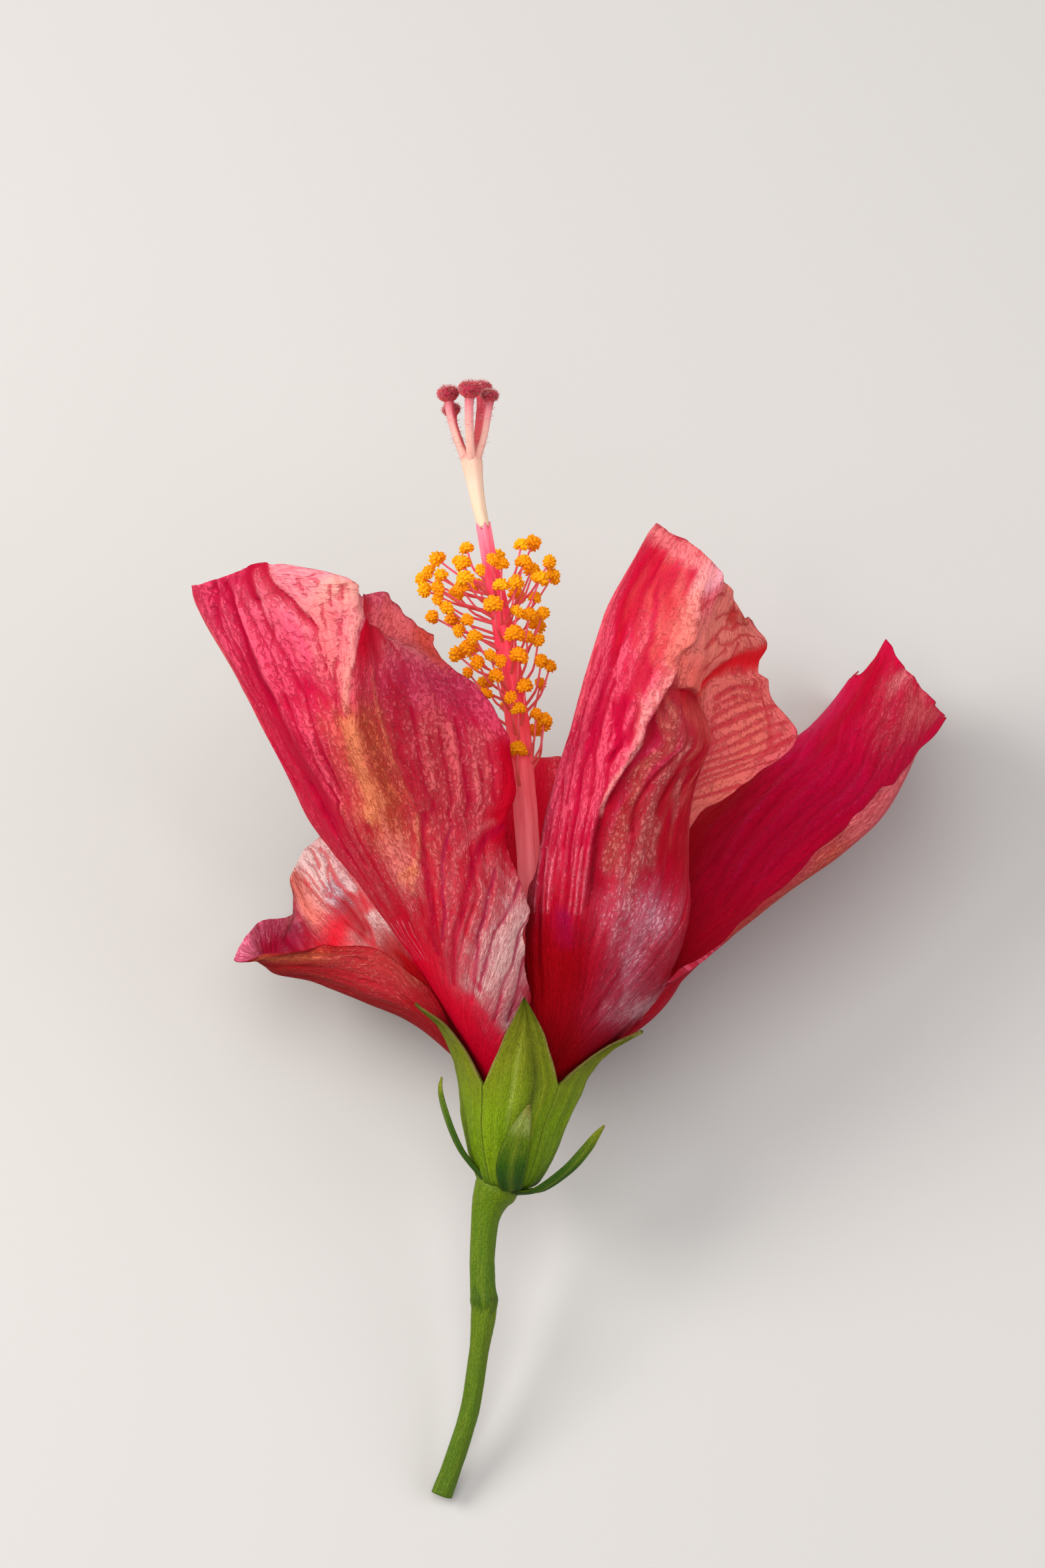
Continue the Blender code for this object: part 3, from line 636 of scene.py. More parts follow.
@dataclass(frozen=True)
class TissueFinish:
    """Plant tissue in its own ground colour, with pale and deep streaks and fine specks."""

    pale: str  # the colour of the pale streaks and specks
    deep: str = "ffffff"  # the colour that the deep streaks are stained with
    # how the streaks are squeezed across, along and through
    streaks: tuple[float, float, float] = (2.6, 0.3, 1.0)
    specks: tuple[float, float, float] = (6.0, 4.0, 1.0)  # the same for the specks
    blur: tuple[float, float] = (0.6, 0.6)  # how rough the streaks' noise and the specks' noise are
    warp: float = 0.0  # how far both are pushed about, in millimetres
    # where pale streaks start and end, and how strong they are
    light: tuple[float, float, float] = (0.5, 0.72, 0.3)
    dark: tuple[float, float, float] = (0.48, 0.3, 0.3)  # the same for deep streaks
    fleck: tuple[float, float, float] = (0.5, 0.75, 0.2)  # the same for specks
    pore: float = 0.0  # how strong the net of pores is
    bumps: tuple[float, float] = (0.08, 0.032)  # how far streaks and specks stand out, in millimetres
    gloss: float = 0.25  # how much the surface mirrors
    rough: tuple[float, float] = (0.39, 0.53)  # the surface's lowest and highest roughness
    glow: float = 0.3  # how much light comes through
    # what light that comes through is stained with, and how strongly
    stain: tuple[float, str] = (0.0, "ffffff")
    # the colour of a painted glow that the surface shines with by itself, standing in for light scattered
    # inside the tissue, and how much of it shows
    painted_glow: tuple[float, str] = (0.0, "ffffff")
    nap: float = 0.0  # how much soft sheen short hairs give it

    def make(self, name: str) -> Material:
        """Makes the material.

        Args:
            name: its name.

        Returns:
            The material.
        """
        dye = Dye(name)
        fan, ground = dye.attribute("fan", "Vector"), dye.attribute("ground")
        if self.warp:
            fan = dye.warped(fan, 0.5, self.warp)
        streaks = dye.noise(fan, self.streaks, 3.0, self.blur[0])
        specks = dye.noise(fan, self.specks, 2.0, self.blur[1])
        pale = dye.mixed(0.35, ground, self.pale)
        deep = dye.mixed(0.6, ground, self.deep, "MULTIPLY")
        shade = ground
        for layer, steps, colour in ((streaks, self.light, pale), (streaks, self.dark, deep),
                                     (specks, self.fleck, pale)):
            low, high, most = steps
            if most:
                shade = dye.mixed(dye.between(layer, low, high, 0.0, most), shade, colour)
        bumps = [(streaks, self.bumps[0]), (specks, self.bumps[1])]
        if self.pore:
            pores = dye.between(dye.walls(fan, (2.4, 1.1, 1.0)), 0.02, 0.14, 1.0, 0.0)
            shade = dye.mixed(dye.math("MULTIPLY", pores, self.pore), shade, deep)
            bumps.append((pores, -0.05))
        bump = dye.bumped(*bumps)
        # The emission is a painted glow, not a lamp.
        dye.set(Base_Color=shade, Normal=bump, Specular_IOR_Level=self.gloss,
                Roughness=dye.between(specks, 0.3, 0.7, *self.rough),
                Emission_Strength=self.painted_glow[0], Emission_Color=self.painted_glow[1],
                Sheen_Weight=self.nap, Sheen_Roughness=0.4, Sheen_Tint="ff7a70")
        if self.glow:
            dye.glowing(self.glow, dye.mixed(self.stain[0], shade, self.stain[1], "MULTIPLY"), bump)
        return dye.material


GREEN = TissueFinish("b0b828", "6c8c10", (2.2, 0.16, 1.0), (5.0, 3.2, 1.0), warp=0.25,
                     dark=(0.46, 0.3, 0.3), fleck=(0.58, 0.72, 0.3), pore=0.22, bumps=(0.22, 0.06),
                     gloss=0.16, rough=(0.485, 0.615), glow=0.12, stain=(0.4, "c8e020"))
LEAF = replace(GREEN, light=(0.5, 0.72, 0.35), dark=(0.46, 0.3, 0.35), rough=(0.44, 0.57))
STALK = replace(GREEN, light=(0.5, 0.72, 0.25), dark=(0.46, 0.3, 0.25), rough=(0.44, 0.57))
STYLE = TissueFinish("fff0e6", "e03050", light=(0.5, 0.72, 0.2), dark=(0.48, 0.3, 0.2))
# The column shines a little by itself, a painted glow.
COLUMN = replace(STYLE, light=(0.5, 0.72, 0.22), dark=(0.48, 0.3, 0.22), glow=0.25, painted_glow=(0.14, "e82040"))
# The pollen shines a little by itself, a painted glow.
POLLEN = TissueFinish("ffd860", "e87840", (5.5,) * 3, (14.0,) * 3, (0.7, 0.7), light=(0.5, 0.75, 0.5),
                      dark=(0.5, 0.3, 0.4), fleck=(0.0, 1.0, 0.0), bumps=(0.14, 0.06), gloss=0.15,
                      rough=(0.7, 0.9), glow=0.15, painted_glow=(0.12, "ff8000"))
VELVET = TissueFinish("ff5a50", "ffffff", (7.0,) * 3, (7.0,) * 3, (0.7, 0.7), light=(0.45, 0.7, 0.7),
                      dark=(0.5, 0.3, 0.0), fleck=(0.0, 1.0, 0.0), bumps=(0.06, 0.06), gloss=0.15,
                      rough=(0.75, 0.95), glow=0.0, nap=0.9)


@dataclass(frozen=True)
class PaperFinish:
    """The plain pale surface that the flower lies on."""

    colour: str = "b2b0ad"

    def make(self, name: str) -> Material:
        """Makes the material.

        Args:
            name: its name.

        Returns:
            The material.
        """
        dye = Dye(name)
        grain = dye.noise(dye.node("TexCoord").node.outputs["Object"], 900.0, 2.0, 0.5)
        dye.set(Base_Color=dye.mixed(dye.between(grain, 0.3, 0.7, 0.0, 0.04), self.colour, "bfbcb8"),
                Roughness=dye.between(grain, 0.3, 0.7, 0.7, 0.8), Specular_IOR_Level=0.2)
        return dye.material


# ---- petals


class Edge(Enum):
    """The free edges of a petal: the covered side, the covering side and the tip."""

    LOW = "low"
    HIGH = "high"
    TIP = "tip"


@dataclass(frozen=True)
class Stroke:
    """Creases, ridges or washes along a petal."""

    routes: str  # points across and along the petal, in hundredths; after a ; comes another stroke
    # how far in millimetres a stroke fades out to each side, at its start and at its end
    width: float | tuple[float, float]
    # the colours that it takes the net and the cells to, if any; - leaves the net as it is
    tints: str = ""
    cover: float | None = None  # how full it makes the cells, if that changes
    strength: float = 0.9  # how much of these is laid on
    press: float = 0.0  # how far in millimetres it pushes the petal, outwards above 0 and inwards below
    side: int = 0  # 0 for both sides of the route, 1 for the left of it only and -1 for the right only
    veins: float = 0.0  # how much it adds to the veins

    def at(self, routes: str, **changes: object) -> "Stroke":
        """Returns: a stroke like this one along other routes, with any other changes."""
        return replace(self, routes=routes, **changes)

    def lay(self, marks: dict[str, Points], share: Points) -> None:
        """Adds its colours to a face.

        Args:
            marks: the face's marks.
            share: how much of the stroke each point takes.
        """
        cover = share * self.strength
        for key, code in zip(("deep", "bloom"), self.tints.split()):
            if code != "-":
                marks[key] = washed(marks[key], cover, code)
        if self.cover is not None:
            marks["cover"] += (self.cover - marks["cover"]) * cover
        marks["veins"] += self.veins * share


@dataclass(frozen=True)
class Skin:
    """One face of a petal."""

    stops: str  # shares along the petal, each with the colours of net and cells and how full the cells are
    strokes: tuple[Stroke, ...] = ()  # its creases and washes

    def ground(self, along: Points, valley: Points, ridge: Points) -> dict[str, Points]:
        """The face before any stroke; cells fade in valleys and fill on ridges, which paints the creases
        darker as shade and the crests paler as light.

        Args:
            along: each point's share along the petal.
            valley: how much of it lies in a crease.
            ridge: how much of it lies on a crest.

        Returns:
            The face's marks.
        """
        rows = [stop.split() for stop in self.stops.split(",")]
        cover = np.interp(along, [float(row[0]) for row in rows], [float(row[3]) for row in rows])
        cover = cover * (1 - 0.75 * np.clip(valley, 0, 1)) * (1 + 0.25 * np.clip(ridge, 0, 1))
        return {"deep": blended(along, self.stops), "bloom": blended(along, self.stops, 2), "cover": cover,
                "veins": np.full(along.shape, 0.4)}


@dataclass
class Petal(Single):
    """One petal: a thin closed shell on a net of points."""

    node: str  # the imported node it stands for
    angle: float  # the compass angle of its claw
    # its points, row by row from just above the calyx to the free edge. A row runs from the side that a
    # neighbour covers to the side that covers the next petal
    rows: tuple[Route, ...]
    # guide veins, as hundredths along and across, each with its number across the fan
    guides: tuple[Route, ...]
    outer: Skin
    inner: Skin
    # notches in the edges, each with its start and end along the edge, its depth as a share of the petal,
    # below 0 if it stands out, and how steep its sides are, from 0 to 1
    trims: dict[Edge, Route]
    seed: int  # the number that its crinkles grow from
    pleats: float = 1.0  # how deep the creases are, in millimetres
    steps: tuple[int, int] = (220, 190)  # points along and across

    ENDING = "_skin"
    SLOT = "petal"
    # The claw inside the calyx: how far round it reaches, and its rows of points, each with its height, its
    # radius and how much further out the covering side is.
    CLAW_SPREAD = 84.0
    CLAW_ROWS = ((3.5, 3.15, 1.0), (12.5, 5.2, 1.4))
    # How thick the petal is at its foot and further on, over how far it thins, and how thin its edge is.
    THICK_FOOT = 0.55
    THICK_RIM = 0.26
    THINNING = 18.0
    EDGE_SHARE = 0.45
    # How high over the surface it rests, and over how much height it bends to lie along it.
    REST = 0.03
    SETTLE_WIDTH = 0.6
    # Where its creases begin and where they are full, from its foot, and how high its ruffles are.
    SMOOTH_FOOT = (8.0, 22.0)
    RUFFLE = 0.45
    # The waves of a frayed edge, each with its height, its length and its own row of the random field.
    FRAY = ((0.28, 3.4, 0.5), (0.13, 1.2, 7.5))
    # How wide the whole fan of veins is, and the pattern's step from the outer face to the inner one.
    FAN_WIDTH = 55.0
    INNER_PATTERN = (300.0, 0, 9.0)
    # Millimetres that one share across and one share along stand for in strokes and frayed edges.
    ACROSS_SPAN = 50.0
    ALONG_SPAN = 80.0
    SAMPLES = 400  # points that its length is measured by

    def knots(self) -> Points:
        """Returns: all rows of points, with the two that lie in the calyx."""
        share = np.linspace(0, 1, len(self.rows[0])) - 0.5
        claw = [around(height, self.angle + self.CLAW_SPREAD * share, radius + step * share)
                for height, radius, step in self.CLAW_ROWS]
        return np.array([*claw, *self.rows], float)

    def sheet(self, across: Points, along: Points) -> Points:
        """Reads the petal's middle.

        Args:
            across: shares across the petal.
            along: shares along it.

        Returns:
            The points there.
        """
        knots = self.knots()
        rows, columns = knots.shape[:2]
        knots = padded(padded(knots, 0), 1)
        i, up = knot_weights(along * (rows - 1), rows)
        j, over = knot_weights(across * (columns - 1), columns)
        return sum((up[a] * over[b])[..., None] * knots[i + a, j + b] for a in range(4) for b in range(4))

    def grid(self) -> tuple[Points, Points]:
        """Returns: the shares across and along of every point, with the edges trimmed."""
        many_along, many_across = (steps for steps in self.steps)
        fine = np.linspace(0, 1, self.SAMPLES)
        middle = self.sheet(np.full(self.SAMPLES, 0.5), fine)
        length = np.append(0, np.cumsum(np.linalg.norm(np.diff(middle, axis=0), axis=1)))
        rise = np.interp(np.linspace(0, length[-1], many_along), length, fine)
        spread = np.linspace(0, 1, many_across)
        wide, tall = self.ACROSS_SPAN, self.ALONG_SPAN
        low = self.cut(Edge.LOW, rise) + self.fray(rise * tall, 0.0) / wide
        high = 1 - self.cut(Edge.HIGH, rise) - self.fray(rise * tall, 40.0) / wide
        top = 1 - self.cut(Edge.TIP, spread) - self.fray(spread * wide, 80.0) / tall
        across = low[:, None] + (high - low)[:, None] * spread[None]
        along = rise[:, None] * (1 - (1 - top)[None] * smooth(rise, 0.55, 1.0)[:, None])
        return across, along

    def cut(self, edge: Edge, place: Points) -> Points:
        """Adds up the notches of an edge.

        Args:
            edge: the edge.
            place: places along it.

        Returns:
            How deep it is cut there.
        """
        total = np.zeros_like(place)
        for start, end, depth, steep in self.trims.get(edge, ()):
            soft = (end - start) * (0.5 - 0.42 * steep)
            total += depth * smooth(place, start, start + soft) * (1 - smooth(place, end - soft, end))
        return total

    def fray(self, reach: Points, shift: float) -> Points:
        """Returns: the small waves of an edge, in millimetres, at distances along it."""
        grain = Grain(self.seed + 500)
        return sum(height * grain.at(reach / length + shift, row) for height, length, row in self.FRAY)

    def fanned(self, across: Points, along: Points) -> Points:
        """Finds where each point lies among the guide veins.

        Args:
            across: the points' shares across the petal.
            along: their shares along it.

        Returns:
            Each point's number across the fan.
        """
        numbers = np.array([guide[0][2] for guide in self.guides])
        found = np.empty_like(across)
        for row, (places, rises) in enumerate(zip(across, along)):
            guides = np.array([np.interp(rises.mean(), *np.array(guide).T[:2] / 100)
                               for guide in self.guides])
            found[row] = np.interp(places, guides, numbers)
            beyond = places > guides[-1]
            slope = (numbers[-1] - numbers[-2]) / max(guides[-1] - guides[-2], 0.02)
            found[row][beyond] = numbers[-1] + (places[beyond] - guides[-1]) * slope
        return found

    def laid(self, points: Points, rest: float) -> Points:
        """Bends a sheet where it would pass through the surface that the flower lies on.

        Args:
            points: the sheet's points.
            rest: how high over the surface it rests.

        Returns:
            The points, lifted.
        """
        up, width = np.array([0, -math.cos(LEAN), math.sin(LEAN)]), self.SETTLE_WIDTH
        over = points @ up + BASE_POINT[2] - rest
        blend = np.clip((over + width) / (2 * width), 0, 1)
        settled = np.where(over > width, over, width * blend**2)
        return points + (settled - over)[..., None] * up

    def build(self) -> Shape:
        """Returns: the petal's shell with its colours."""
        across, along = self.grid()
        middle = self.sheet(across, along)
        step_up, step_over = np.gradient(middle, axis=0), np.gradient(middle, axis=1)
        normal = unit(np.cross(step_over, step_up))
        width = np.linalg.norm(step_over, axis=-1).sum(axis=1, keepdims=True)
        ran = np.cumsum(np.linalg.norm(step_up, axis=-1), axis=0)
        east = np.cumsum(np.linalg.norm(step_over, axis=-1), axis=1)
        flat = np.stack([east - width * 0.5, ran], axis=-1)
        veined = self.fanned(across, along) * self.FAN_WIDTH

        shift, crease, crest = self.crinkle(veined, ran)
        squeeze = np.gradient(east, axis=1) / np.maximum(np.gradient(veined, axis=1), 1e-6)
        shift = shift * np.clip(squeeze, 0.1, 1.0)
        near = np.minimum(np.minimum(east - east[:, :1], east[:, -1:] - east), ran[-1:] - ran)
        shift += self.waves(across, ran, near)
        faces = []
        for skin, valley, ridge in ((self.outer, crease, crest), (self.inner, crest, crease)):
            faces.append(skin.ground(along, valley, ridge))
            for stroke in skin.strokes:
                for route in stroke.routes.split(";"):
                    share, push = self.reach(stroke, path(route), across, along, flat)
                    shift += stroke.press * push
                    stroke.lay(faces[-1], share)

        thick = self.THICK_RIM + (self.THICK_FOOT - self.THICK_RIM) * np.exp(-ran / self.THINNING)
        thick = thick * (self.EDGE_SHARE + (1 - self.EDGE_SHARE) * smooth(near, 0.0, 0.8))
        shift = shift * smooth(ran, *self.SMOOTH_FOOT)
        outer, inner = (
            self.laid(middle + normal * (shift + over)[..., None], rest).reshape(-1, 3)
            for over, rest in ((thick / 2, self.REST), (-thick / 2, self.REST + self.THICK_RIM)))
        shape = shell(outer, inner, ring_faces(*across.shape, gap=1))
        for key in ("deep", "bloom"):
            shape.marks[key] = np.concatenate([marks[key].reshape(-1, 3) for marks in faces])
        for key in ("cover", "veins"):
            shape.marks[key] = np.clip(np.concatenate([marks[key].ravel() for marks in faces]), 0, 1)
        fan = np.stack([veined, ran, np.zeros_like(ran)], axis=-1).reshape(-1, 3)
        shape.marks["fan"] = np.concatenate([fan, fan + self.INNER_PATTERN])
        return shape

    def crinkle(self, x: Points, ran: Points) -> tuple[Points, Points, Points]:
        """The creases that the petal keeps from the bud.

        Args:
            x: how far in millimetres each point is across the fan.
            ran: its distance from the petal's foot.

        Returns:
            How far the skin stands out in millimetres, and how much of it is crease and crest.
        """
        grain = Grain(self.seed)
        sway = 1.1 * grain.at(x / 14.0, ran / 16.0)
        broad = np.abs(grain.at((x + sway) / 4.6, ran / 30.0 + 40))
        fine = np.abs(grain.at((x + sway) / 1.9 + 60, ran / 13.0 + 11))
        shift = 0.85 * (broad - 0.3) + 0.30 * (fine - 0.3) + 0.045 * grain.rough(x / 0.8, ran / 3.2 + 90, 2)
        crease = np.exp(-broad / 0.09) + 0.5 * np.exp(-fine / 0.10)
        return self.pleats * shift, crease, smooth(broad, 0.3, 0.7) + 0.4 * smooth(fine, 0.3, 0.7)

    def waves(self, across: Points, ran: Points, near: Points) -> Points:
        """The ruffles towards the petal's edges.

        Args:
            across: the points' shares across the petal.
            ran: their distance from its foot.
            near: their distance from its nearest edge.

        Returns:
            How far the skin stands out, in millimetres.
        """
        grain = Grain(self.seed + 40)
        turn = across * 60.0
        return self.RUFFLE * (1.5 * np.exp(-near / 3.0) * grain.at(turn / 6.0, ran / 6.0)
                              + 0.7 * np.exp(-near / 1.2) * grain.at(turn / 2.4, ran / 2.4))

    def reach(self, stroke: Stroke, route: Route, across: Points, along: Points,
              flat: Points) -> tuple[Points, Points]:
        """Works out how much of a stroke each point takes.

        Args:
            stroke: the stroke.
            route: where it runs.
            across: the points' shares across the petal.
            along: their shares along it.
            flat: where they are on the petal laid flat, in millimetres.

        Returns:
            The shares of its colour and of its push, from 0 to 1.
        """
        knots = []
        for u, v in np.array(route) / 100:
            miss = ((across - u) * self.ACROSS_SPAN) ** 2 + ((along - v) * self.ALONG_SPAN) ** 2
            knots.append(flat.reshape(-1, 2)[np.argmin(miss)])
        knots = np.array(knots)
        knots = (spline(knots, 4 * len(knots)) if len(knots) > 2
                 else np.concatenate([knots, knots[-1:] + 0.01]))
        first, last = stroke.width if isinstance(stroke.width, tuple) else (stroke.width, stroke.width)
        room = 1.6 * max(first, last)
        near = np.all((flat > knots.min(0) - room) & (flat < knots.max(0) + room), axis=-1)
        here = flat[near]
        nearest, place, beside = np.full(len(here), np.inf), np.zeros(len(here)), np.zeros(len(here))
        for number, (start, end) in enumerate(zip(knots, knots[1:])):
            run, gap = end - start, here - start
            share = np.clip((gap @ run) / max(run @ run, 1e-9), 0, 1)
            distance = np.hypot(*(gap - share[:, None] * run).T)
            closer = distance < nearest
            nearest = np.where(closer, distance, nearest)
            place = np.where(closer, (number + share) / (len(knots) - 1), place)
            turned = (run[0] * gap[:, 1] - run[1] * gap[:, 0]) / max(np.hypot(*run), 1e-9)
            beside = np.where(closer, turned, beside)
        width = first + (last - first) * place
        ragged = nearest * (1 + 0.35 * Grain(self.seed + 9).at(here[:, 0] / 0.9, here[:, 1] / 3.1))
        kept = smooth(beside * stroke.side, -0.2, 0.2) if stroke.side else 1.0
        crisp = 1 - smooth(ragged / width, 0.1, 1.0)
        soft = np.exp(-(ragged / (0.5 * width)) ** 2 / 2)
        tint, push = np.zeros(across.shape), np.zeros(across.shape)
        tint[near] = (crisp + (soft - crisp) * smooth(width, 1.5, 3.5)) * kept
        push[near] = np.exp(-(nearest / (0.5 * width)) ** 2 / 2) * kept
        return tint, push


# ---- calyx, bracts, stalk


@dataclass(frozen=True)
class Lobe:
    """One lobe of the calyx."""

    angle: float  # its compass angle on the cup
    tip: tuple[float, float, float]  # the compass angle, height and distance from the axis of its tip
    bow: float = -1.4  # how far its middle stands out from a straight line, in millimetres
    curl: float = 0.7  # how far its tip turns outwards, in millimetres
    swell: float = 0.06  # how much wider than a straight-sided point it is in the middle, as a share
    pale: float = 0.3  # how pale its upper part is, from 0 to 1


@dataclass
class Calyx(Single):
    """The green cup with its five lobes, one closed shell."""

    node: str = "calyx"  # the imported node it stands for
    # heights and outer radii of the cup's rings, from foot to rim
    rings: Route = path("0,3 .4,3.75 1.2,4.4 3,5.2 5.2,6 8.6,7 11.4,7.8 14,8.5")
    # the lobes, in order of their angle
    lobes: tuple[Lobe, ...] = (
        Lobe(-92.0, (-95.0, 26.2, 12.8), -0.3, 0.5, 0.08, 0.2),
        Lobe(-20.0, (-20.0, 21.2, 15.2), -1.2, 1.0, 0.1),
        Lobe(52.0, (50.0, 22.5, 19.5)),
        Lobe(124.0, (124.0, 23.0, 18.5)),
        Lobe(196.0, (206.0, 25.0, 16.2), -1.1, 1.3, pale=0.5),
    )
    # the thickness of the wall low down and at the lobes' edges, in millimetres
    wall: tuple[float, float] = (0.6, 0.3)
    columns: int = 36  # points across one lobe
    cup_rows: int = 46  # rows of points up the cup
    lobe_rows: int = 44  # rows of points up a lobe

    ENDING = "_cup"
    SLOT = "green"
    HALF_TURN = 36.0  # half the turn that one lobe takes up, in degrees
    # The heights between which every lobe's pattern runs, and the pattern's step to the inner face.
    LOBE_SPAN = (14.0, 25.0)
    INNER_PATTERN = (0, 0, 7.0)
    INNER_TINT = (0.918, 0.9, 0.81)

    def lobe_grid(self, lobe: Lobe) -> Points:
        """The outer face of a lobe.

        Args:
            lobe: the lobe.

        Returns:
            Its points, rows up and columns across.
        """
        rim_height, rim_radius = self.rings[-1]
        tip_angle, tip_height, tip_radius = lobe.tip
        up = np.linspace(0, 1, self.lobe_rows)[:, None]
        across = np.linspace(-1, 1, self.columns + 1)[None]
        narrow = (1 - up) * rim_radius / (rim_radius + (tip_radius - rim_radius) * up)
        narrow = narrow + lobe.swell * np.sin(np.pi * up) * (1 - up * 0.4)
        height = rim_height + (tip_height - rim_height) * up + 0 * across
        radius = rim_radius + (tip_radius - rim_radius) * up + lobe.bow * np.sin(np.pi * up)
        radius = radius + lobe.curl * smooth(up, 0.7, 1.0) - across**2 * up * (1 - up)
        angle = lobe.angle + (tip_angle - lobe.angle) * up
        angle = angle + across * self.HALF_TURN * np.maximum(narrow, 0.012)
        sway = Grain(int(lobe.angle) + 400).at(up * 5, 0.5) * 0.9 * across * np.sin(np.pi * up)
        return around(height, angle + sway, radius)

    def build(self) -> Shape:
        """Returns: the calyx with its colours."""
        total = self.columns * len(self.lobes)
        rows, columns, top = self.cup_rows, self.columns + 1, self.lobe_rows - 1
        first, (low, high) = self.lobes[0].angle, self.LOBE_SPAN
        angles = first - self.HALF_TURN + np.arange(total) * 360.0 / total
        heights, radii = spline(self.rings, rows).T
        # Each point's place: how far across its lobe it is, its height, and its lobe's number.
        across = ((angles - first + self.HALF_TURN) % (2 * self.HALF_TURN)) / self.HALF_TURN - 1
        places = [np.stack([np.tile(across, rows), np.repeat(heights, total),
                            np.tile(np.arange(total) // self.columns, rows)], axis=1), np.zeros((1, 3))]
        cup = around(heights[:, None] + 0 * angles, angles[None], radii[:, None])
        points = [cup.reshape(-1, 3), around(0.25, 0, 0)[None]]
        foot = rows * total
        faces = ring_faces(rows, total) + [(foot, (i + 1) % total, i) for i in range(total)]
        count = foot + 1
        for number, lobe in enumerate(self.lobes):
            grid, spread = self.lobe_grid(lobe), np.linspace(-1, 1, columns)
            below = [foot - total + (number * self.columns + i) % total for i in range(columns)]
            for row in range(1, top):
                above = list(range(count, count + columns))
                places.append([(place, low + (high - low) * row / top, number) for place in spread])
                faces += zip(below, below[1:], above[1:], above)
                below, count = above, count + columns
            points += [grid[1:top].reshape(-1, 3), grid[top].mean(0)[None]]
            places.append([(0.0, high, number)])
            faces += [(*pair, count) for pair in zip(below, below[1:])]
            count += 1
        return self.thickened(np.concatenate(points), faces, np.concatenate(places))

    def thickened(self, skin: Points, faces: Faces, places: Points) -> Shape:
        """Gives the calyx its ribs, wall and colours.

        Args:
            skin: points of its outer face.
            faces: faces of its outer face.
            places: across its lobe, height in millimetres and number of its lobe, for each point.

        Returns:
            The closed shell.
        """
        normal = np.zeros_like(skin)
        for face in faces:
            a, b, c = skin[list(face[:3])]
            normal[list(face)] += np.cross(b - a, c - a)
        normal = unit(normal)
        across, height, number = places.T
        side = np.abs(across)
        rib = bell(across, 0.09) + 0.7 * bell(side - 1.0, 0.1) + 0.45 * bell(side - 0.5, 0.07)
        fold = smooth(height, 1.0, 6.0) * (1 - smooth(height, 20.0, 25.0))
        inside = 1 - smooth(side, 0.75, 1.0)
        relief = 0.2 * rib * fold + 0.16 * inside * Grain(77).rough(across * 5 + number * 9, height / 4.5, 3)
        skin = skin + normal * relief[:, None]
        thin = self.wall[1] + (self.wall[0] - self.wall[1]) * (1 - smooth(height, 12.0, 20.0))
        colour = self.colours(across, height, number.astype(int), rib)
        fan = np.stack([across * 9.0 + number * 20.0, height, 0 * height], axis=1)
        fan, colour = (np.concatenate([fan, fan + self.INNER_PATTERN]),
                       np.concatenate([colour, colour * self.INNER_TINT]))
        return shell(skin, skin - normal * thin[:, None], faces).shaded(colour, fan)

    def colours(self, across: Points, height: Points, number: Points, rib: Points) -> Points:
        """Colours the outer face.

        Args:
            across: each point's place across its lobe, from -1 to 1.
            height: its height.
            number: its lobe's number.
            rib: how much of it lies on a rib.

        Returns:
            The colour of each point.
        """
        grain, front, side = Grain(78), number == 0, np.abs(across)
        colour = blended(height + 1.5 * grain.at(side * 4, height / 3.0),
                         "0 587a02, 4 6c8c02, 10 6e8a02, 16 727e02, 22 747404, 25 7c8008")
        inside = (1 - smooth(side, 0.7, 1.0)) * grain.rough(across * 3 + number * 11, height / 5.0 + 3, 2)
        pale = np.array([self.lobes[i].pale for i in number]) * smooth(height, 12.0, 22.0)
        for share, code in (
            (0.3 * smooth(inside, -0.1, 0.7), "4d5f02"),
            (0.6 * pale, "8c9430"),
            (0.25 * np.clip(rib, 0, 1), "8e952a"),
            (front * bell(across - 0.35, 0.17) * smooth(height, 4.0, 9.0)
             * (1 - smooth(height, 16.0, 24.0)) * 0.75, "3a4004"),
            (front * bell(across + 0.18, 0.06) * smooth(height, 7.0, 11.0)
             * (1 - smooth(height, 17.0, 21.0)) * 0.5, "a4b050"),
            # The front lobe's lower left, painted brighter yellow-green as a highlight.
            (front * smooth(-across, 0.3, 0.8) * (1 - smooth(height, 9.0, 15.0)) * 0.5, "84a008"),
            (front * bell(across - 0.62, 0.05) * smooth(height, 5.0, 9.0) * 0.5, "93981a"),
            (smooth(side, 0.86, 1.0) * smooth(height, 14.0, 16.5) * 0.5, "9f7b58"),
            ((1 - smooth(height, 0.0, 2.2)) * 0.35, "385801"),
        ):
            colour = washed(colour, share, code)
        return colour


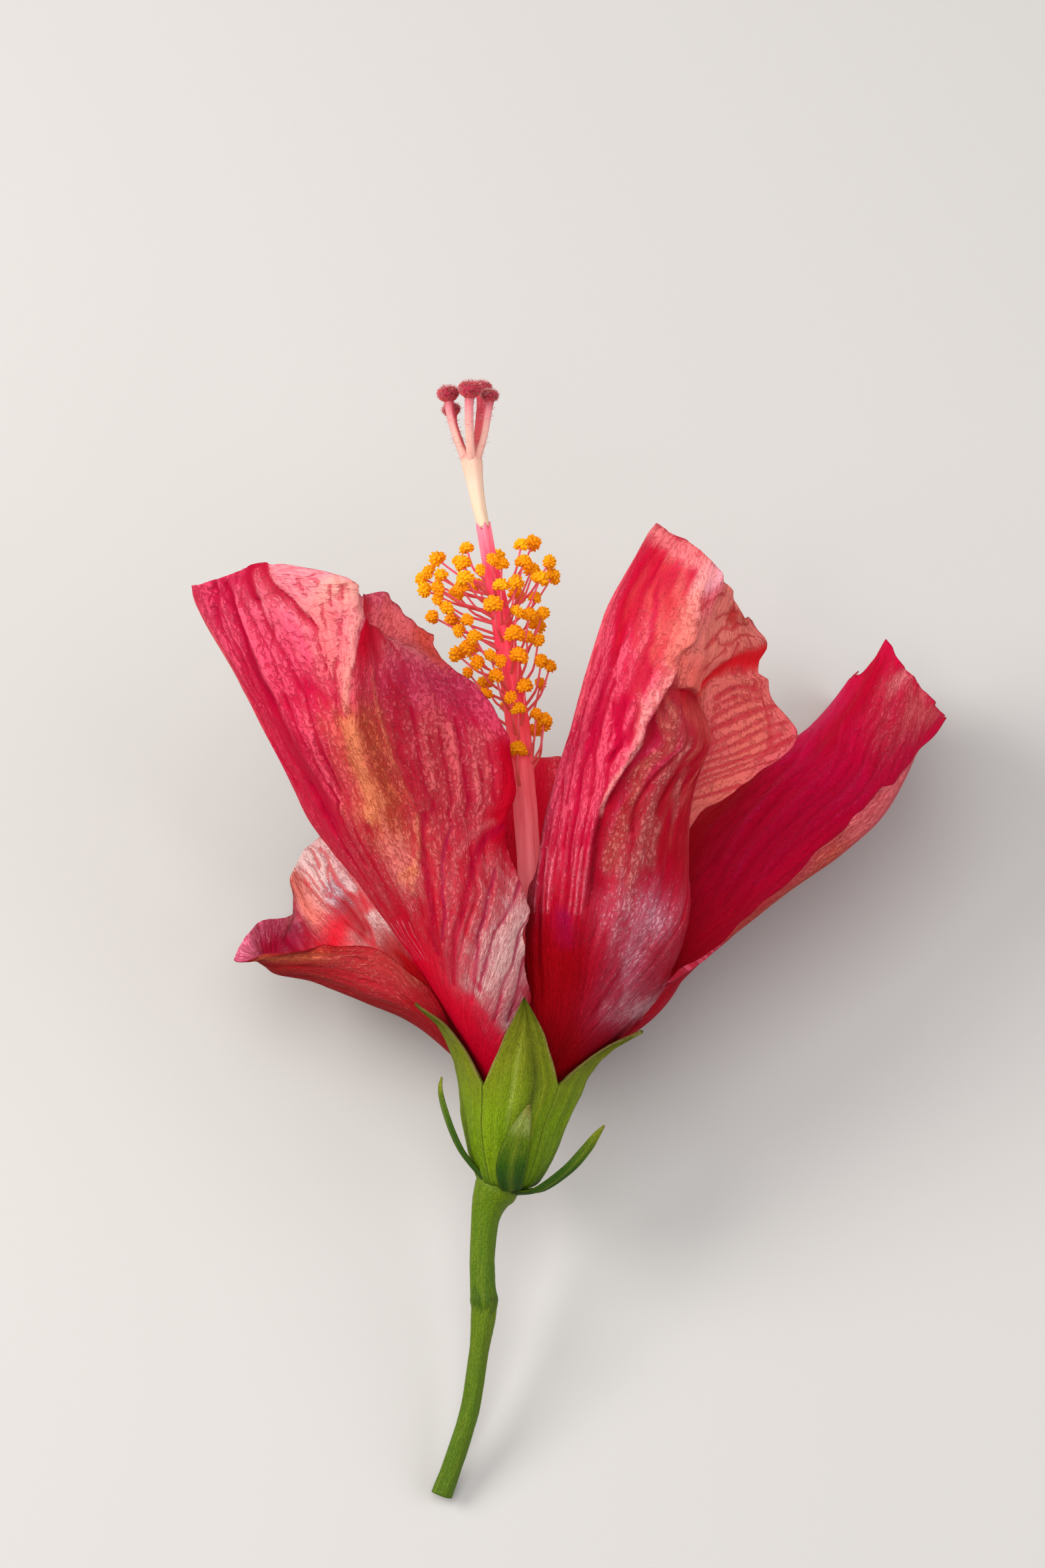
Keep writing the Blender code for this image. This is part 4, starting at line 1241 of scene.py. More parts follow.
@dataclass(frozen=True)
class Bract(Single):
    """One narrow leaf under the calyx."""

    node: str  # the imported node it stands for
    route: str  # points from its foot to its tip
    half_width: float  # half its width where it is widest
    tip: str = "838e12"  # the colour of its tip

    ENDING = "_leaf"
    SLOT = "green"
    HALF_THICKNESS = 0.34
    STATIONS = 60
    SIDES = 20

    def build(self) -> Shape:
        """Returns: the bract with its colours."""
        line = spline(path(self.route), self.STATIONS)
        share = np.linspace(0, 1, self.STATIONS)
        widths = self.half_width * (0.55 + 1.5 * share) * (1 - share**1.6) + 0.12
        depths = self.HALF_THICKNESS * (1 - 0.6 * share)
        widths[-1], depths[-1] = 0.05, 0.05
        shape = tube(line, widths, depths, self.SIDES, np.cross((0, 0, 1), line[0] - axis_at(line[0][2])))
        turn, share, middle = shape.read("turn", "share", "middle")
        side = np.cos(turn)
        keel = bell(side, 0.22)
        shape.points = middle + (shape.points - middle) * (1 + 0.35 * keel)[:, None]
        colour = blended(share + 0.06 * Grain(91).at(side * 3, share * 9),
                         f"0 1c4801, .4 285402, .7 5c7404, .9 {self.tip}, 1 9c8c38")
        colour = washed(colour, 0.4 * keel, "7b891b")
        colour = washed(colour, 0.35 * smooth(np.abs(side), 0.85, 1.0), "748113")
        fan = np.stack([side * self.half_width * 2.0, share * 14.0, np.sign(np.sin(turn)) * 3.0], axis=1)
        return shape.shaded(colour, fan)


@dataclass
class Stalk(Single):
    """The flower's stalk: its joint, its faint ribs and its cut end."""

    node: str = "pedicel"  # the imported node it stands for
    # points down its middle, each with its radius
    route: Route = path(".7,0,.5,2.9 .2,0,-.5,2.95 -.35,0,-1.6,2.55 -.85,0,-3.2,2.1 -1.2,0,-5.3,1.82 "
                        "-1.4,0,-8,1.7 -1.5,0,-10.8,1.68 -1.45,0,-13.3,1.72 -1.25,0,-15.4,1.86 "
                        "-1.35,0,-17.4,1.72 -1.65,0,-20,1.45 -2.05,0,-23,1.32 -3.2,0,-30,1.3 -5,.1,-36,1.34 "
                        "-7,.25,-41.6,1.42")
    stations: int = 150  # rings along it
    sides: int = 48  # points in a ring

    ENDING = "_stem"
    SLOT = "green"
    LENGTH = 42.0
    JOINT = (15.6, 16.9)  # how far down it the joint stands out and where it is pinched

    def build(self) -> Shape:
        """Returns: the stalk with its colours."""
        fine = spline(self.route, 600)
        ran = np.append(0, np.cumsum(np.linalg.norm(np.diff(fine[:, :3], axis=0), axis=1)))
        even = np.linspace(0, ran[-1], self.stations)
        line = np.stack([np.interp(even, ran, column) for column in fine.T], axis=1)
        shape = tube(line[:, :3], line[:, 3], line[:, 3], self.sides, (1, 0, 0))
        turn, share, middle, ring = shape.read("turn", "share", "middle", "ring")
        reach = share * self.LENGTH
        grain = Grain(61)
        x, y = np.cos(turn) * 3 + 3, np.sin(turn) * 3 + 3
        relief = 0.05 * np.cos(5 * turn) + 0.05 * grain.rough(x, y + reach / 2.5, 3)
        joint = bell(reach - self.JOINT[0], 0.5) - bell(reach - self.JOINT[1], 0.5)
        swell = ((relief + 0.06 * joint) * ring)[:, None]
        shape.points = shape.points + outwards(shape.points, middle) * swell
        colour = blended(share + 0.03 * grain.at(x * 2, reach),
                         "0 5c7104, .1 536f04, .33 4d6b06, .38 375203, .41 59700a, .7 506d08, 1 4c680b")
        colour = washed(colour, 0.35 * smooth(grain.rough(x, y + reach / 6, 2), 0.2, 0.9), "6d7a14")
        colour = washed(colour, (1 - ring) * share, "9e9d60")
        return shape.shaded(colour, rolled(turn * 1.8, reach))


# ---- column, stamens and style


@dataclass
class Column(Single):
    """The tube that the filaments grow from, with its toothed mouth."""

    node: str = "staminal_column"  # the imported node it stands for
    # heights and radii
    radii: Route = path("1,1.9 4,1.9 9,1.8 20,1.75 45,1.55 60,1.6 72,1.45 80,1.2 86,.95 88.6,.86")
    stations: int = 200  # rings along it
    sides: int = 60  # points in a ring
    teeth: int = 5  # how many teeth the mouth has
    tooth: float = 1.0  # how long they are, in millimetres

    ENDING = "_tube"
    SLOT = "column"
    # Its length, how far up it the teeth begin, and how far up it thickens towards its mouth.
    LENGTH = 87.6
    TEETH_FROM = 83.5
    LIP_FROM = 84.5

    def radius(self, height: float | Points) -> float | Points:
        """Returns: the column's radius at a height."""
        return np.interp(height, *np.array(self.radii).T)

    def build(self) -> Shape:
        """Returns: the column with its colours."""
        heights = np.linspace(self.radii[0][0], self.radii[-1][0], self.stations)
        radii = self.radius(heights)
        shape = tube(axis_at(heights), radii, radii, self.sides, (1, 0, 0))
        turn, share, middle, ring = shape.read("turn", "share", "middle", "ring")
        grain, reach, flutes = Grain(33), share * self.LENGTH, np.cos(5 * turn + 0.6)
        relief = 0.10 * flutes + 0.05 * grain.rough(np.cos(turn) * 3 + 5, np.sin(turn) * 3 + reach / 4, 3)
        relief = (relief + 0.06 * smooth(reach, self.LIP_FROM, self.LENGTH)) * ring
        points = shape.points + outwards(shape.points, middle) * relief[:, None]
        point = 0.5 + 0.5 * np.cos(self.teeth * turn)
        lift = self.tooth * point**1.5 * smooth(reach, self.TEETH_FROM, self.LENGTH) * ring
        shape.points = points + lift[:, None] * unit(axis_at(88.6) - axis_at(86.0))
        colour = blended(share + 0.02 * grain.at(turn * 2, reach / 2),
                         "0 ffd0cc, .35 ffacb0, .55 ff8890, .7 fc5c68, .85 f84464, .95 fc5474, 1 ff8ca0")
        # The grooves between the flutes are painted darker, as shade.
        colour = washed(colour, 0.14 * smooth(flutes, 0.2, -0.9), "c02848")
        return shape.shaded(colour, rolled(turn * 1.5, reach))


@dataclass
class Stamens:
    """The stamens: each is a thin filament that ends in a dusty kidney-shaped anther."""

    named: Route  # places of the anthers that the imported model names
    more: Route  # places of further anthers between them
    column: Column  # the column that they grow from
    radius: float = 0.17  # a filament's radius
    size: tuple[float, float, float] = (0.98, 0.78, 0.7)  # half an anther's length, width and thickness
    # where their small differences come from
    draw: np.random.Generator = field(default_factory=lambda: np.random.default_rng(5))

    # How far under its anther a filament starts, and how much further for each millimetre of lean.
    DROP = 5.0
    DROP_SLOPE = 0.22
    # How far a filament bows outwards and sags.
    BOW = 0.5
    SAG = 0.4
    GRAINS = 46  # pollen grains that cover an anther

    def filament(self, anther: Points) -> Points:
        """The filament of one stamen.

        Args:
            anther: where its anther is.

        Returns:
            Points from its root on the column to the anther.
        """
        lean = anther[0] - axis_at(anther[2])[0]
        height = anther[2] - self.DROP - self.DROP_SLOPE * lean
        middle = axis_at(height)
        out = unit((anther - middle) * (1, 1, 0))
        root = middle + out * (self.column.radius(height) - 0.1)
        bend = (root + anther) / 2 + out * self.BOW - (0, 0, self.SAG)
        return spline([root, (root + bend) / 2 + out * self.BOW / 3, bend, anther], 14)

    def anther(self, middle: Points, heading: Points) -> Shape:
        """One anther.

        Args:
            middle: where it is.
            heading: the way that its filament arrives.

        Returns:
            The anther with its colours.
        """
        sac = sphere(3)
        side = unit(np.cross(heading, self.draw.normal(size=3)))
        over = np.cross(heading, side)
        half = np.array(self.size) * self.draw.uniform(0.8, 1.14)
        point = sac.points
        notch = bell(point[:, 0], 0.36) * smooth(-point[:, 1], 0.2, 0.95)
        groove = bell(point[:, 2], 0.16) * smooth(point[:, 1], -0.3, 0.5)
        knob = self.knobs(point)
        lumps = unit(self.draw.normal(size=(5, 3)))
        lump = smooth((point @ lumps.T).max(axis=1), 0.55, 0.95)
        reach = 0.86 - 0.4 * notch - 0.16 * groove + 0.46 * knob + 0.16 * lump
        local = point * half * reach[:, None]
        local[:, 1] -= 0.16 * (local[:, 0] / half[0]) ** 2
        body = washed(linear("ff9a02"), np.array(self.draw.uniform(0, 1)), "ffb40a")
        # The anther is painted darker between its pollen grains and in its notch and groove, as shade in
        # these hollows.
        body = body * (0.78 + 0.3 * knob[:, None])
        colour = washed(body, np.clip(0.4 * notch + 0.3 * groove, 0, 1), "d85c04")
        shape = Shape(middle + local @ np.stack([side, heading, over]), sac.faces)
        return shape.shaded(colour, point * half + self.draw.uniform(0, 50, 3))

    def knobs(self, point: Points) -> Points:
        """The pollen grains that cover an anther.

        Args:
            point: points of the unit ball.

        Returns:
            1 on the grains' tops, fading to 0 between them.
        """
        order = np.arange(self.GRAINS)
        turn = order * math.pi * (3 - math.sqrt(5)) + self.draw.uniform(0, 6)
        rise = 1 - 2 * (order + 0.5) / self.GRAINS
        wide = np.sqrt(1 - rise**2)
        tops = np.stack([wide * np.cos(turn), wide * np.sin(turn), rise], axis=1)
        tops = unit(tops + self.draw.normal(scale=0.05, size=tops.shape))
        return smooth((point @ tops.T).max(axis=1), math.cos(0.27), math.cos(0.02))

    def build(self, place: tuple[float, ...]) -> Shape:
        """One stamen.

        Args:
            place: where its anther is.

        Returns:
            The stamen with its colours.
        """
        anther = np.array(place)
        line = self.filament(anther)
        heading = unit(line[-1] - line[-2])
        radii = self.radius * (1.25 - 0.5 * np.linspace(0, 1, len(line)))
        rod = tube(line, radii, radii, 8, np.cross(heading, (0, 0, 1)))
        turn, share = rod.read("turn", "share")
        rod = rod.shaded(blended(share, "0 f05c7c, .5 f84870, 1 fc7090"), rolled(turn * 0.3, share * 7))
        return joined([rod, self.anther(anther, heading)])

    def dress(self, material: Material) -> list[Object]:
        """Builds all the stamens and settles them on the flower.

        Args:
            material: their material.

        Returns:
            The pieces.
        """
        pieces = []
        for number, place in enumerate((*self.named, *self.more), 1):
            piece = self.build(place).object(f"anther_{number:02d}", material)
            nodes = [f"stamen_{number:02d}"] if number <= len(self.named) else []
            pieces.append(settle(piece, "pollen", *nodes))
        return pieces


@dataclass
class Pistil:
    """The style, its five branches and their velvety stigmas."""

    node: str = "style"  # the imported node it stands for
    # points up the style, each with its radius
    style: Route = path("-1.3,-2.2,88.95,.8 -2,-2.3,92,.95 -2.5,-2.4,95,1.12 -2.9,-2.5,97.5,1.42 "
                        "-3.05,-2.5,98.8,1.2")
    # points up each branch, with its stigma's radius
    branches: tuple[Route, ...] = tuple(path(text) for text in (
        "-3.4,-2.6,97.4,1.4 -4.7,-2.9,100.6,1.4 -5.7,-3.2,104,1.4 -6,-3.3,106.3,1.4",
        "-3.3,-1.9,97.4,1.15 -4.3,-.6,99.8,1.15 -5.3,.2,102.6,1.15 -5.6,.4,104.4,1.15",
        "-2.9,-3,97.4,1.5 -3.1,-4.4,100.6,1.5 -3.2,-5.6,104.2,1.5 -3.1,-6.1,106.7,1.5",
        "-2.6,-1.9,97.4,1.3 -2.1,-.4,101,1.3 -1.7,.9,105,1.3 -1.6,1.2,107.4,1.3",
        "-2.5,-2.6,97.4,1.1 -1.4,-3.1,100.8,1.1 -.8,-3.3,104,1.1 -.5,-3.4,106,1.1"))
    # where its small differences come from
    draw: np.random.Generator = field(default_factory=lambda: np.random.default_rng(12))

    STATIONS = 30  # rings along a branch
    CAP_REACH = 0.62  # how far past its branch's end a stigma's middle is
    TUFTS = 150  # tufts on a stigma
    HAIRS = 520  # hairs on a stigma
    DOWN = 60  # hairs on a branch

    def arms(self) -> list[tuple[Points, Points, Points, float]]:
        """Returns: each branch's line, the way that it ends, its stigma's middle and its stigma's radius."""
        arms = []
        for branch in self.branches:
            line = spline(branch, self.STATIONS)
            heading = unit(line[-1, :3] - line[-4, :3])
            arms.append((line[:, :3], heading, line[-1, :3] + heading * self.CAP_REACH, branch[0][3]))
        return arms

    def stem(self) -> Shape:
        """Returns: the style with its branches, in their colours."""
        line = spline(self.style, 40)
        trunk = tube(line[:, :3], line[:, 3], line[:, 3], 28, (1, 0, 0), (5, 0.05))
        turn, share = trunk.read("turn", "share")
        parts = [trunk.shaded(blended(share, "0 ecd8b8, .5 f0d4bc, .8 f0c4ac, 1 e88c88"),
                              rolled(turn, share * 10))]
        for line, _, _, _ in self.arms():
            share = np.linspace(0, 1, len(line))
            radii = 0.58 + 0.1 * smooth(share, 0.7, 1.0) + 0.08 * (1 - smooth(share, 0.0, 0.3))
            arm = tube(line, radii, radii, 16, (1, 0, 0))
            turn, share, middle = arm.read("turn", "share", "middle")
            towards = unit(np.array((*self.style[-1][:2], 0)) - middle * (1, 1, 0) + 1e-9)
            inward = smooth((outwards(arm.points, middle) * towards).sum(1), 0.0, 0.5)
            colour = blended(share, "0 ecb4a4, .4 f0c0b0, .75 ec949c, 1 b82040")
            colour = washed(colour, inward * smooth(share, 0.12, 0.3) * 0.85, "d02044")
            parts.append(arm.shaded(colour, rolled(turn * 0.5, share * 9)))
        return joined(parts)

    def pads(self) -> Shape:
        """Returns: the stigmas with their colours."""
        pads = []
        for _, heading, centre, radius in self.arms():
            side = unit(np.cross(heading, (0.3, 1.0, 0.1)))
            globe = sphere(4)
            point = globe.points
            high = point[:, 2]
            tufts = unit(self.draw.normal(size=(self.TUFTS, 3)))
            tuft = smooth((point @ tufts.T).max(axis=1), math.cos(0.22), 1.0)
            dent = np.exp(-((point[:, :2] ** 2).sum(1) / 0.3)) * smooth(high, 0.2, 0.9)
            local = point * (radius * (1 + 0.09 * tuft - 0.08 * dent))[:, None]
            local[:, 2] *= np.where(high > 0, 0.62, 0.85)
            # The stigma is painted darker between its tufts, as shade.
            colour = washed(linear("840a2c") * (0.55 + 0.7 * tuft)[:, None], 0.175 * bell(high - 0.05, 0.35),
                            "d85068")
            colour = washed(colour, 0.7 * smooth(-high, 0.2, 0.8), "c8404c")
            pad = Shape(centre + local @ np.stack([side, np.cross(heading, side), heading]), globe.faces)
            pads.append(pad.shaded(colour, point * 1.6 + self.draw.uniform(0, 9, 3)))
        return joined(pads)

    def nap(self) -> Shape:
        """Returns: the fine hairs on the stigmas and the branches, in their colours."""
        draw, roots, ways, lengths = self.draw, [], [], []
        for line, heading, centre, radius in self.arms():
            spread = unit(draw.normal(size=(self.HAIRS, 3)))
            squash = spread - heading * (spread @ heading)[:, None] * 0.3
            roots.append(centre + squash * radius * 0.97)
            ways.append(spread + draw.normal(scale=0.2, size=spread.shape))
            lengths.append(draw.uniform(0.22, 0.46, len(spread)))
            for place in draw.uniform(3, 27, self.DOWN):
                out = unit(np.cross(draw.normal(size=3), heading))
                roots.append((line[int(place)] + out * 0.42)[None])
                ways.append((out + draw.normal(scale=0.3, size=3))[None])
                lengths.append(draw.uniform(0.5, 1.0, 1))
        nap = hairs(np.concatenate(roots), np.concatenate(ways), np.concatenate(lengths), 0.035, 0.35)
        warm = np.repeat(draw.uniform(0, 1, len(nap.points) // 7), 7)
        return nap.shaded(washed(linear("d86078"), warm, "f8c8c0"), nap.points)

    def dress(self, flesh: TissueFinish, velvet: TissueFinish) -> list[Object]:
        """Builds the style, its stigmas and their hairs and settles them on the flower.

        Args:
            flesh: the style's and the hairs' finish.
            velvet: the stigmas' finish.

        Returns:
            The three pieces.
        """
        stem = self.stem().object("style_branches", flesh.make("style_flesh"))
        caps = self.pads().object("stigmas", velvet.make("stigma_velvet"))
        down = self.nap().object("style_down", flesh.make("down_hair"))
        return [settle(stem, "style", self.node), settle(caps, "style"), settle(down, "style")]
# ---- this flower's petals

OPEN_FAN = net("0: 0,30 10,24 45,0 100,0; .5: 0,50 100,50; 1: 0,70 10,76 45,100 100,100")
FRONT_INSIDE = Skin("0 660005 8b000c .1, .3 a1000f bb0a2a .2, .7 bb0225 d81d43 .4, 1 c80d39 e54467 .5")

# The wide petal at the front left, folded along its middle.
# Dark crimson lines pressed into creases: partly the veins' own colour and partly painted shade.
FOLD_LINE = Stroke("", 0.6, "b80034", 0.1, 0.7, -0.32)
FRONT_LEFT_FACE = (
    # Washes of the lit side: the far rim, painted salmon as light through the thin edge, the dusty top, the
    # pale corner by the fold and a painted highlight on the fold's ridge.
    Stroke("10,100 11,85 13,72 14,60", 2.2, "e04c50 f47c74", 0.9, 0.75),
    Stroke("13,95 32,95", 6.5, "c8184c ec4068", 0.55, 0.75),
    Stroke("22,62 22,42", 9.0, "cc0038 ee3c60", 0.55, 0.8),
    Stroke("43,96 50,90", 7.5, "e8647c fc9ca4", 0.95, 0.85, veins=0.1),
    Stroke("50,82 52,70", 4.0, "d03850 f88884", 0.9, 0.7),
    Stroke("55.5,64 57.5,80 58.7,90 58.7,101", (1.2, 3.2), "f08080 ffb8a8", 1.0, press=0.3, side=1),
    # Its creases, painted dark crimson: partly the veins' own colour and partly painted shade.
    Stroke("29,66 31,58 31.5,50 32,43", (2.2, 3.4), "c00034 d01040", 0.0, press=-0.35),
    Stroke("25,93 26,85 26.5,78 27,72 29,65", (0.8, 2.0), "b40034", 0.0, press=-0.4),
    Stroke("33,97 33,90 34.5,84", (2.8, 1.2), "b80034", 0.03, press=-0.25),
    # A painted shadow under the fold at the top.
    Stroke("38,99 40.5,90 44,85 48.5,78.5", (4.2, 1.2), "bc0030", 0.0, press=-0.5, side=-1),
    FOLD_LINE.at("20,93 20.5,87 19,80 20,72 21,64; 35,84 36,79 38.5,74 41,69 43.5,63 44,55 43.5,47",
                 width=(0.9, 0.6)),
    FOLD_LINE.at("30,86 32,79 35,73 36.5,68; 22,72 24,62 25,54; 36,66 38.5,60 40,52 40,44; 47,80 48.5,74 "
                 "51,68; 52.5,80 52,73 51.5,66 52,60; 47,62 46.5,54 47,46; 36,36 40,44 41.5,50; 26,34 28,42 "
                 "28,50", width=0.5),
    FOLD_LINE.at("49.5,84 50,78; 17,66 17.5,58 18,50; 20,98 20.5,93 18.5,87; 24,97 24.5,91 23,86; 29,97 "
                 "28.5,91; 20.5,92 23,88 25,84; 45,92 46.5,86; 51,92 51,84; 48,97 48.5,91; 53.5,96 53.5,88; "
                 "38,78 36,74", width=0.38, press=-0.15),
    # Pink lines along the small ridges between the creases are painted highlights.
    Stroke("34.5,97 36.5,89 39,82; 42,66 42,55 41.5,44; 28.5,85 30,77 32.5,69; 23,86 23.3,76; 38,88 41,80 "
           "45,73", 0.7, "- ff6480", 0.95, 0.6, 0.3),
    # Orange along the fold.
    Stroke("51,60 50.5,44", 4.0, "d0343c f07468", 0.7, 0.75),
    Stroke("60.5,62 61.5,50 60,40", 5.6, "a82c24 d86c44", 0.62),
    Stroke("55.5,62 55.5,52 54,43", (1.6, 2.2), "e06844 f89c6c", 0.85, 0.75, 0.3),
    Stroke("62,70 64.5,62 66,54 67.5,48 69,43", 0.7, "d85c3c f09468", 0.95, 0.8, 0.3, side=1),
    Stroke("69,43 67,39 61,36 54,33.5", 0.7, "- f4a070", 0.95, 0.7, 0.25),
    Stroke("53.5,34.8 57.5,35.6", 1.5, "e06c10 f08c14", 1.0),
    # The arm to the right of the fold, dusty and mottled.
    Stroke("66,77 84,80", 8.0, "cc4058 f48c90", 0.88, 0.88),
    Stroke("76,68 94,70", 7.0, "b41844 dc4c70", 0.55, 0.8),
    Stroke("70,66 69.5,56 71.5,46", (2.6, 2.4), "b00028 c84050", 0.3, 0.8),
    Stroke("78,60 78,46", 6.5, "b4082c e46868", 0.55, 0.85),
    Stroke("91,58 91,45", 3.6, "c01c38 f07478", 0.8, 0.85),
    Stroke("98,56 97.5,40", 3.4, "c80020 d01030", 0.03),
    Stroke("83.3,61 83,46; 88.5,60 88.5,45; 76,62 75.5,50", 0.6, "- f07878", 0.9, 0.6, 0.2),
    FOLD_LINE.at("85.7,62 85.7,52 86,43"),
    FOLD_LINE.at("80,60 80.5,50 80,42; 74,64 73,52 74.5,44; 93.5,58 94,46; 90,54 90,44",
                 width=0.42, press=-0.15),
    # Inside the fold, painted crimson as shade in the hollow, and the rounded lobe behind it, painted salmon
    # as light shining through the thin lobe.
    Stroke("59.5,80 59.5,101", 9.0, "c80024 d81030", 0.03, 1.0, side=-1),
    Stroke("79,95 88,92", 8.0, "dc4858 f87c7c", 0.9),
    Stroke("94,84 95,97", 4.5, "d43c34 ea5c48", 0.9, 0.85),
    # Low on the right: silvery streaks between purple-red veins, and a pale edge.
    Stroke("52,34 58,38", 4.0, "d03c48 f48c80", 0.8, 0.75),
    Stroke("62,22 80,26 97,30", 7.0, "d4647c fcd4cc", 0.88),
    Stroke("62,18 80,19", 3.5, "a82050 f8dcd8", 0.8, 0.85),
    Stroke("95,42 84,39 74,36 64,32", 1.0, "cc3c50 ec7c7c", 0.8, 0.5),
    FOLD_LINE.at("98,41 88,38 78,34.5 68,31 58,27 48,23; 72,43 66,37.5 57,31.5 47,26.5",
                 width=(1.0, 0.6), press=-0.2),
    FOLD_LINE.at("80,41 72,37 64,33 54,28; 100,34 86,30.5 74,27 62,22.5; 100,29.5 88,26.5 76,23 66,19; "
                 "90,35.5 78,31 66,26 56,21.5; 94,26 84,22 76,19", tints="b02050", width=0.4, press=-0.2),
    # The glossy crimson foot.
    Stroke("15,12 25,25", 9.0, "f00030 f8143c", 0.0, 0.95),
    Stroke("42,13 45,20", 6.0, "f00030 e82c50", 0.12, 0.85),
    Stroke("; ".join(f"{u},26 {u + 0.6},30" for u in (15, 18, 21, 24, 27, 30.5, 34, 38)), 0.2,
           "d84060 f8a0b0", 0.95, 0.6),
)
FRONT_LEFT = Petal(
    "petal_front_left", -128.0, net("""
    24: -3.8,.6 -5.8,-2.6 -6,-5.2 -5.4,-7.4 -4,-9.2 -2.2,-10.3 0,-10.8 2.2,-10.6 3.9,-9.8 4.8,-8.6;
    36: -9.6,2.4 -14,-3.4 -13.4,-7.4 -12,-10.6 -10,-13.4 -7.4,-15.4 -3.8,-15.8 -.6,-15 2.4,-13.6
    5,-11.4,36.5;
    48: -17,2.6 -22.8,-4 -21.8,-9.2 -20,-13.4 -17.6,-17 -14.4,-19.6 -10.2,-19.4 -6,-17.8 -2,-15.2 1.6,-12.2;
    54: -20.8,2.2 -26.3,-4.6 -25.2,-10.2 -23,-14.8 -20,-18.8 -16.2,-21.8 -11.8,-21 -7,-18.8 -2,-15.6
    2.9,-12.4,53.6;
    61: -24.6,1.4 -30.1,-5.4 -28.8,-11.6 -26.4,-17 -23,-21.6 -18.4,-25.2 -13.6,-23.6,61.2 -8.4,-20.2,61.5
    -3,-16.2,61.5 1.6,-12.6,60.6;
    69: -29,.2 -34.2,-6.6 -32.4,-13.2 -29,-18.8 -24.4,-23.8 -18,-28 -14.4,-26,69.2 -10.6,-22.4,68.8
    -6.6,-18.2,68 -2,-13.8,66.8;
    69.2: -33,-1.6,75 -37.8,-8,75.2 -35,-14.6,76 -30.8,-20.4,76.4 -25.2,-25.4,76.2 -17.8,-29.4,75.4
    -15.4,-26.6,74.6 -12.2,-22,72.9 -8.6,-17.6,71 -4.4,-13.4;
    71.4: -35.4,-3,78 -39.6,-9.2,79 -36,-15.6,80 -31.4,-21.8,80.8 -25.6,-26.6,80.4 -17.8,-29.6,78.4
    -17,-20,74.4 -13.8,-15.8,73.8 -10.4,-13,73 -6.4,-11.4;
    80.8: -36.4,-4,80 -40.2,-9.8 -36.2,-16.2,81.8 -30.6,-22.6,83.2 -25.6,-27,82.8 -17.8,-30 -17.6,-17,79.2
    -14.2,-12.4,79.5 -11.1,-9.8,76.7 -8.1,-9.4,73.9"""),
    net("""
    0: 0,0 100,0;
    .3: 0,8 15,11 22,17 30,24 36,28 42,30 60,27 75,23.5 100,20;
    .4: 0,10 15,14.5 22,23 30,32 36,37 42,39.5 50,39 60,36 72,30 90,28 100,28;
    .47: 0,12 15,17 22,26.5 30,36.5 42,45 55,44 62,43 68,40 80,36 90,33 100,31;
    .55: 0,14 15,20 22,31 30,43 42,54 60,53 68,51 80,47 87,42 100,35;
    .6: 0,16 15,22 22,34 30,47 36,56 42,58 60,56 100,56;
    .72: 0,20 15,26 22,40 24,45 30,56 36,66 42,70 55,67 65,65.5 100,66;
    .88: 0,25 15,32 22,50 25,56 30,69 33,79 39,86 60,86 70,88 80,93 100,95;
    1.1: 0,30 15,38 18,50 22,64 27,78 30,86 36,98 42,110 100,120;
    1.36: 0,36 15,46 18,60 22,78 27,95 30,105 40,140 100,150;
    2: 0,55 15,70 18,90 20,100 30,150 100,220"""),
    Skin("0 b50016 cf102b 0, .2 c80020 e05068 .12, .28 c80026 f08088 .3, .38 c8002c f06870 .45, "
         ".48 cc0036 f04a68 .62, .7 cc0840 f85478 .72, .88 cc0c44 f45c80 .7, 1 cc3058 f0809a .85",
         FRONT_LEFT_FACE),
    FRONT_INSIDE,
    trims={Edge.TIP: path(".1,.34,.025,.6 .36,.42,.012,.3 .53,.66,.045,0"),
           Edge.LOW: path(".38,.66,.012,.4"), Edge.HIGH: path(".21,.31,.06,.5 .7,1.02,.03,.4")},
    seed=21)
